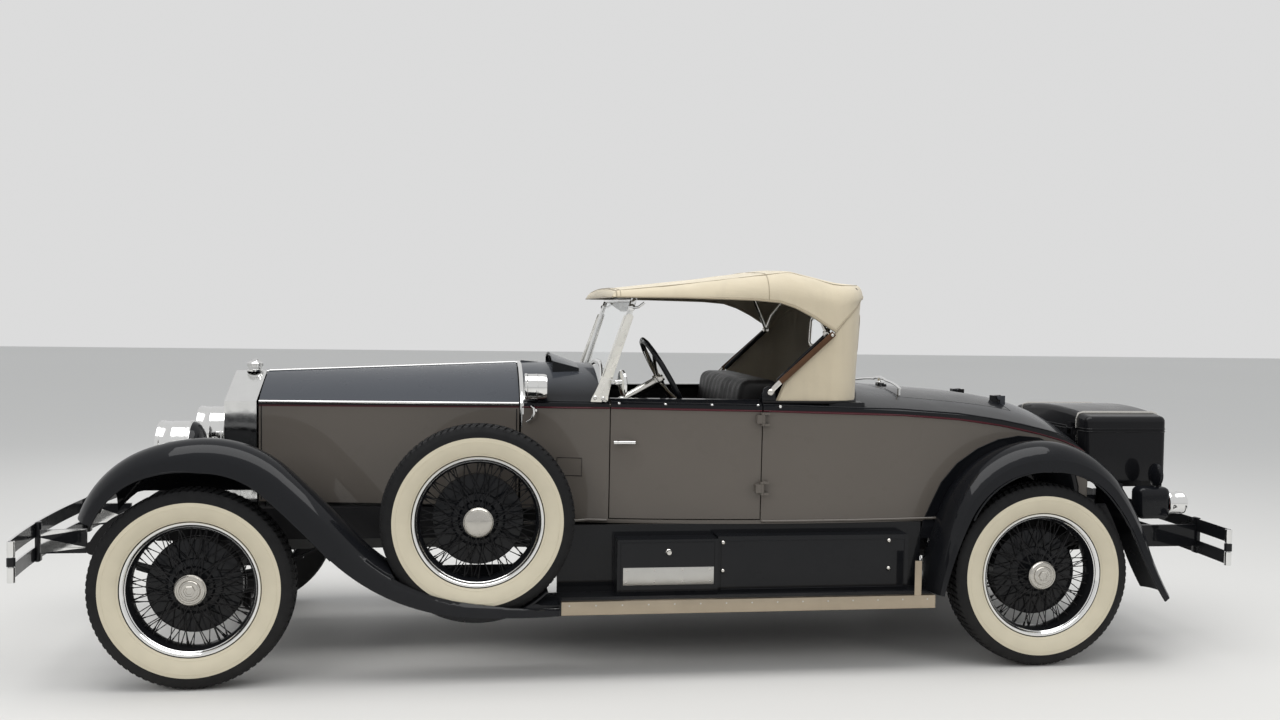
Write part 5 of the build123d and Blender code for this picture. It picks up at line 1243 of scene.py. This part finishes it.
# Running boards, boxes and their plates
boards = Piece("board_strips_and_ribs")
BOARD_EDGE, BOX_FACE, LOCKER_FACE, STRIP_Y = WING_Y + 0.0008, 0.715, 0.7, 0.803
strip_back, strip_front = BOARD_BACK + 0.002, BOARD_FRONT - 0.006
for side in (1, -1):
    edge, face, locker, outward = side * BOARD_EDGE, side * BOX_FACE, side * LOCKER_FACE, (0, side, 0)
    low, high = BOARD_TOP - 0.055, BOARD_TOP + 0.003
    boards.block((strip_back, edge - 0.0022, low), (strip_front, edge + 0.0022, high), 0, 0.0012)
    y = side * STRIP_Y
    boards.block((strip_back, y - 0.012, BOARD_TOP), (strip_front, y + 0.012, BOARD_TOP + 0.0032), 0, 0.001)
    for i in range(15):
        x = BOARD_BACK + 0.04 + i * (BOARD_FRONT - BOARD_BACK - 0.08) / 14
        boards.stud((x, edge + side * 0.002, BOARD_TOP - 0.014), outward, 0.0038, 0.0018, 1, 10)
    for i in range(11):
        y = side * (0.728 + 0.0058 * i)
        low = (BOARD_BACK + 0.01, y - 0.0017, BOARD_TOP - 0.001)
        high = (BOARD_FRONT - 0.012, y + 0.0017, BOARD_TOP + 0.0022)
        boards.block(low, high, 2, 0.0006, 1)
    boards.block((-1.172, edge - 0.003, 0.338), (-1.14, edge + 0.0015, 0.5), 0, 0.0012)
    boards.block((-0.247, face - 0.0012, 0.389), (0.159, face + 0.0022, 0.467), 1, 0.001)
    for i in range(4):
        for z in (0.403, 0.455):
            boards.stud((-0.23 + i * 0.125, face + side * 0.002, z), outward, 0.0042, 0.002, 3, 10)
    knob = mm((13, 0), (13, 3), (8, 8), (12, 14), (10, 19), (0, 20))
    boards.lathe((-0.043, face, 0.535), outward, knob, 24, 3)
    for x in (-0.29, -1.058):
        for z in (0.444, 0.571):
            boards.lathe((x, locker, z), outward, mm((11, 0), (11, 4), (6, 10), (0, 12)), 18, 3)
    for x0, x1, y in ((-0.262, 0.182, face), (-1.144, -0.27, locker)):
        loop = [(x0 + 0.012, 0.36), (x1 - 0.012, 0.36), (x1 - 0.012, 0.578), (x0 + 0.012, 0.578)]
        boards.tube([(x, y, z) for x, z in loop], 0.0022, 6, 4, closed=True)
boards.make("car", ["shaded_brass", "alloy", "ribbed", "nickel", "black"], "bright_metal")

# Wings


def tangent_arc(start, way, end, steps=24):
    """Points from start to end on the arc that leaves start in a given direction, and the last direction."""
    sx, sz = start
    nx, nz = -way[1], way[0]
    dx, dz = end[0] - sx, end[1] - sz
    radius = (dx * dx + dz * dz) / (2 * (dx * nx + dz * nz))
    cx, cz = sx + nx * radius, sz + nz * radius
    a0 = atan2(sz - cz, sx - cx)
    a1 = atan2(end[1] - cz, end[0] - cx)
    spin = 1 if radius > 0 else -1
    turn = (a1 - a0) % (2 * pi) if spin > 0 else -((a0 - a1) % (2 * pi))
    size, last = abs(radius), a0 + turn
    angles = [a0 + turn * i / steps for i in range(steps + 1)]
    points = [(cx + size * cos(angle), cz + size * sin(angle)) for angle in angles]
    return points, (-sin(last) * spin, cos(last) * spin)


def wing_lip(start, way, ends, first_drop, last_drop):
    """A line at a changing distance under the arcs of a wing's crown, which run through the ends."""
    line, here, heading = [start], start, way
    for end in ends:
        points, heading = tangent_arc(here, heading, end)
        line += points[1:]
        here = end
    lip = []
    sign = 1 if way[0] > 0 else -1
    for i, (x, z) in enumerate(line):
        before, after = line[max(0, i - 1)], line[min(len(line) - 1, i + 1)]
        dx, dz = after[0] - before[0], after[1] - before[1]
        drop = (first_drop + (last_drop - first_drop) * i / (len(line) - 1)) * sign / hypot(dx, dz)
        lip.append((x + dz * drop, z - dx * drop))
    return lip


FRONT_TOP, REAR_TOP = (FRONT - 0.043, 1.038), (REAR - 0.023, 1.024)
NOSE_ENDS = [(FRONT + 0.207, 0.99), (FRONT + 0.46, 0.716)]
SWEEP_ENDS = [(FRONT - 0.377, 0.908), (FRONT - 0.66, 0.625)]
TAIL_ENDS = [(REAR - 0.407, 0.825), (REAR - 0.54, 0.567), (REAR - 0.65, 0.323)]
lips = [
    wing_lip(FRONT_TOP, (1, 0), NOSE_ENDS, 0.13, 0.08),
    wing_lip(FRONT_TOP, (-1, 0), SWEEP_ENDS, 0.13, 0.13),
    wing_lip(REAR_TOP, (1, 0), [(REAR + 0.427, 0.71)], 0.13, 0.092),
    wing_lip(REAR_TOP, (-1, 0), TAIL_ENDS, 0.13, 0.06),
]
beads = Piece("wing_beads")
for side in (1, -1):
    for lip in lips:
        beads.tube([(x, side * (WING_Y - 0.004), z) for x, z in lip], 0.0048)
beads.make("car", ["black"], "black_paint", 60)

# Sheets that close the front wings toward the chassis above the tyres
APRON_TOP, TYRE_ROOM = 0.036, 0.46
front_crown = wing_lip(FRONT_TOP, (1, 0), NOSE_ENDS, APRON_TOP, APRON_TOP)[::-1]
front_crown += wing_lip(FRONT_TOP, (-1, 0), SWEEP_ENDS, APRON_TOP, APRON_TOP)[1:]
closing = Piece("front_wing_aprons")
for side in (1, -1):
    rows = []
    for i in range(31):
        x = FRONT + 0.36 - 0.8 * i / 30
        high = between(front_crown, x)[0]
        reach = min(abs(x - FRONT), 0.44)
        low = min(0.79, WHEEL_Z + sqrt(TYRE_ROOM ** 2 - reach ** 2))
        sheet = ((0.577, high), (0.556, high - 0.03), (0.52, (high + low) / 2), (0.5, low))
        rows.append([(x, side * y, z) for y, z in sheet])
    closing.grid(rows)
closing.make("car", ["black"], "black_paint")

# Front wings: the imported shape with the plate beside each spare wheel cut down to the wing
PLATE_INNER, PLATE_OUTER, CUT_FRONT, CUT_BACK = 0.779, 0.8, 1.3, BOARD_FRONT - 0.2
packed = bmesh.new()
packed.from_mesh(nodes["wings_front"].data)
bmesh.ops.remove_doubles(packed, verts=packed.verts[:], dist=0.00001)
wing_mesh = bpy.data.meshes.new("front_wings")
packed.to_mesh(wing_mesh)
packed.free()
wing_mesh.materials.clear()
wing_mesh.materials.append(finishes["black"])
front_wings = add_object("front_wings", wing_mesh)
wing_path = SWEEP_ENDS + [(FRONT - 1.127, 0.376), (BOARD_FRONT, BOARD_TOP)]
crown = [(x, z) for x, z in wing_lip(FRONT_TOP, (-1, 0), wing_path, 0.034, 0.034) if x < CUT_FRONT]
cutter = Piece("well_cutter")
for side in (1, -1):
    outline = crown + [(CUT_BACK, 0.3), (CUT_BACK, 1.3), (CUT_FRONT, 1.3)]
    cutter.plate(outline, side * PLATE_INNER, side * PLATE_OUTER, 0, 0.0001)
cutter_thing = add_object("well_cutter", cutter.mesh(30))
cut = front_wings.modifiers.new("cut", "BOOLEAN")
cut.operation = "DIFFERENCE"
cut.solver = "EXACT"
cut.object = cutter_thing
finished = bpy.data.meshes.new_from_object(front_wings.evaluated_get(bpy.context.evaluated_depsgraph_get()))
front_wings.modifiers.remove(cut)
front_wings.data = finished
bpy.data.objects.remove(cutter_thing)
for polygon in finished.polygons:
    polygon.use_smooth = True
finished.set_sharp_from_angle(angle=radians(30))
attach(front_wings, "car")
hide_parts("wings_front")

# Black apron on the body's side round the rear wing
apron = Piece("rear_wing_apron")
APRON = mm((-1238, 560), (-1259, 640), (-1296, 721), (-1345, 820), (-1421, 907), (-1524, 975))
APRON += mm((-1628, 1016), (-1733, 1031), (-1840, 1021), (-1930, 985), (-2000, 930), (-2050, 870))
APRON += mm((-2080, 780), (-2085, 700))
for side in (1, -1):
    rows = []
    for (x0, z0), (x1, z1) in zip(APRON, APRON[1:]):
        for step in range(4):
            x, z = x0 + (x1 - x0) * step / 4, z0 + (z1 - z0) * step / 4
            way = at(REAR - x, 0, 0.55 - z).normalized()
            depths = (0, 0.03, 0.06, 0.09, 0.12, 0.2, 0.3, 0.4)
            spots = [(x + way.x * depth, max(z + way.z * depth, min(z, 0.66))) for depth in depths]
            rows.append(side_line(spots, side, 0.0014))
    apron.grid(rows)
    apron.tube([row[0] for row in rows], 0.0028)
apron.make("car", ["black"], "black_paint", 50)

# Trunk
case = Piece("trunk_fittings")
cover = Piece("trunk_lid_fittings")
STRAP_Y, STRAP_LIFT, CORNER, CORNER_Y, LOOP_R = 0.3, 0.0014, 0.03, 0.365, 0.0302
for side in (1, -1):
    y = side * STRAP_Y
    top = [top_point(x, y, 0.0012, trunk_skin, 1.5)[0] for x in (-2.195, -2.28, -2.38, -2.48, -2.56)]
    front, back = TRUNK_FRONT + STRAP_LIFT, TRUNK_BACK - STRAP_LIFT
    strap = [at(front, y, 1.046), at(front, y, 1.085), at(-2.172, y, top[0].z - 0.006)] + top
    strap += [at(-2.584, y, top[-1].z - 0.006), at(back, y, 1.085), at(back, y, 1.046)]
    cover.tube(strap, 0.0085, 8, 0, flat=0.22, up=Y_WAY)
    for x in (TRUNK_BACK - 0.0012, TRUNK_FRONT + 0.0012):
        case.tube([(x, y, z) for z in (1.036, 0.93, 0.8)], 0.0085, 8, 0, flat=0.22, up=X_WAY)
    case.block((TRUNK_BACK - 0.01, y - 0.022, 0.985), (TRUNK_BACK, y + 0.022, 1.03), 0, 0.004)
front, back = TRUNK_FRONT - CORNER, TRUNK_BACK + CORNER
for piece, z in ((case, TRUNK_SEAM - 0.006), (cover, TRUNK_SEAM + 0.007)):
    loop = []
    for x, side, start in ((front, 1, 0), (back, 1, 90), (back, -1, 180), (front, -1, 270)):
        for turn in [radians(start + 15 * i) for i in range(7)]:
            loop.append((x + LOOP_R * cos(turn), side * CORNER_Y + LOOP_R * sin(turn), z))
    piece.tube(loop, 0.0032, 8, 1, closed=True)
case.make("car", ["nickel", "trunk"], "chrome")
cover.make("trunk_lid", ["nickel", "trunk"], "chrome")

# Bumper clamps: end X, face X, half width, direction, height of the lower blade, clamp's Y and bow
clamps = Piece("bumper_clamps")
BUMPERS = ((2.67, 2.725, 0.8, 1, 0.465, 0.36, 0.055), (-2.685, -2.725, 0.79, -1, 0.452, 0.48, 0.04))
eye_shape = mm((10, -1), (15.2, 1), (15.6, 31), (15.2, 61), (10, 63))
sleeve = mm((8, 0), (17, 2), (17, 36), (8, 39))
for end_x, face_x, half, way, low, clamp_y, bow in BUMPERS:
    for side in (1, -1):
        eye = at(end_x - way * 0.015, side * half, low)
        for z in (0, 0.105):
            clamps.lathe(eye + at(0, 0, z), Z_WAY, eye_shape, 24, 0)
        clamps.lathe(eye + at(0, 0, 0.064), Z_WAY, sleeve, 20, 1)
        y = side * clamp_y
        x = face_x - way * (0.01 + bow * (clamp_y / half) ** 2)
        clamps.block((x - 0.018, y - 0.022, low - 0.004), (x + 0.002, y + 0.022, low + 0.171), 1, 0.005)
        for z in (low + 0.031, low + 0.136):
            clamps.stud((x + way * 0.0125, y, z), (way, 0, 0), 0.013, 0.007, 0, 20)
clamps.make("car", ["chrome", "black"], "chrome")

# Stage, lights and camera
bpy.ops.mesh.primitive_plane_add(size=80, location=(0, 0, 0))
floor = bpy.context.object
floor.name = "stage_floor"
ground = bpy.data.materials.new("stage_floor")
ground.use_nodes = True
tree = ground.node_tree
base = tree.nodes["Principled BSDF"]
grain = new_node(tree, "ShaderNodeTexNoise", {"Scale": 3.0}).outputs["Fac"]
pale, dark = (0.66, 0.645, 0.62, 1), (0.6, 0.585, 0.56, 1)
tone = new_node(tree, "ShaderNodeMix", {0: grain, 6: dark, 7: pale}, data_type="RGBA")
connect(tree, 0.75, base.inputs["Roughness"])
connect(tree, tone.outputs[2], base.inputs["Base Color"])
floor.data.materials.append(ground)

world = bpy.data.worlds.new("studio")
bpy.context.scene.world = world
world.use_nodes = True
tree = world.node_tree
background = tree.nodes["Background"]
coords = new_node(tree, "ShaderNodeTexCoord", {}).outputs["Generated"]
rise = new_node(tree, "ShaderNodeSeparateXYZ", {0: coords}).outputs[2]
rescaled = new_node(tree, "ShaderNodeMath", {0: rise, 1: 0.5, 2: 0.5}, operation="MULTIPLY_ADD").outputs[0]
sky = new_node(tree, "ShaderNodeValToRGB", {0: rescaled})
stops = sky.color_ramp.elements
for stop, place, colour in ((stops[0], 0.4, (0.3, 0.29, 0.28, 1)), (stops[1], 0.8, (0.92, 0.96, 1.0, 1))):
    stop.position = place
    stop.color = colour
for place, level in ((0.495, 0.22), (0.505, 0.1), (0.56, 0.14), (0.62, 0.6)):
    stops.new(place).color = (level, level, level * 1.02, 1)
paths = new_node(tree, "ShaderNodeLightPath", {}).outputs
seen = paths["Is Camera Ray"]
for kind in ("Is Glossy Ray", "Is Transmission Ray"):
    seen = new_node(tree, "ShaderNodeMath", {0: seen, 1: paths[kind]}, operation="MAXIMUM").outputs[0]
backdrop = {0: seen, 6: sky.outputs[0], 7: (0.84, 0.84, 0.84, 1)}
choose = new_node(tree, "ShaderNodeMix", backdrop, data_type="RGBA")
connect(tree, choose.outputs[2], background.inputs["Color"])
connect(tree, 0.85, background.inputs["Strength"])


def soft_box(name, location, target, size, power):
    data = bpy.data.lights.new(name, "AREA")
    data.shape = "RECTANGLE"
    data.size, data.size_y = size
    data.energy = power
    lamp = add_object(name, data)
    lamp.location = location
    lamp.visible_glossy = name == "overhead"
    lamp.rotation_euler = (Vector(target) - Vector(location)).to_track_quat("-Z", "Y").to_euler()


soft_box("overhead", (0.0, 1.0, 6.5), (0, 0, 0.6), (9, 4), 330)
soft_box("front_left", (6.5, 6.5, 4.2), (0.5, 0, 0.8), (4, 3), 170)
soft_box("rear_left", (-6.5, 6.0, 4.0), (-0.5, 0, 0.8), (4, 3), 120)
soft_box("far_side", (0.0, -7.0, 3.5), (0, 0, 0.8), (6, 2.5), 90)

yaw, pitch, roll = radians(-8.14), radians(2.33), radians(0.83)
forward = at(sin(yaw) * cos(pitch), -cos(yaw) * cos(pitch), -sin(pitch))
right = forward.cross(Vector(Z_WAY)).normalized()
up = right.cross(forward)
view_right = right * cos(roll) + up * sin(roll)
view_up = up * cos(roll) - right * sin(roll)
lens_data = bpy.data.cameras.new("photo_camera")
lens_data.lens = 34.05
lens_data.sensor_width = 36
camera = add_object("photo_camera", lens_data)
turn = Matrix((view_right, view_up, -forward)).transposed()
camera.matrix_world = Matrix.Translation((0.845, 5.942, 1.596)) @ turn.to_4x4()
bpy.context.scene.camera = camera
bpy.context.scene.view_settings.view_transform = "Standard"
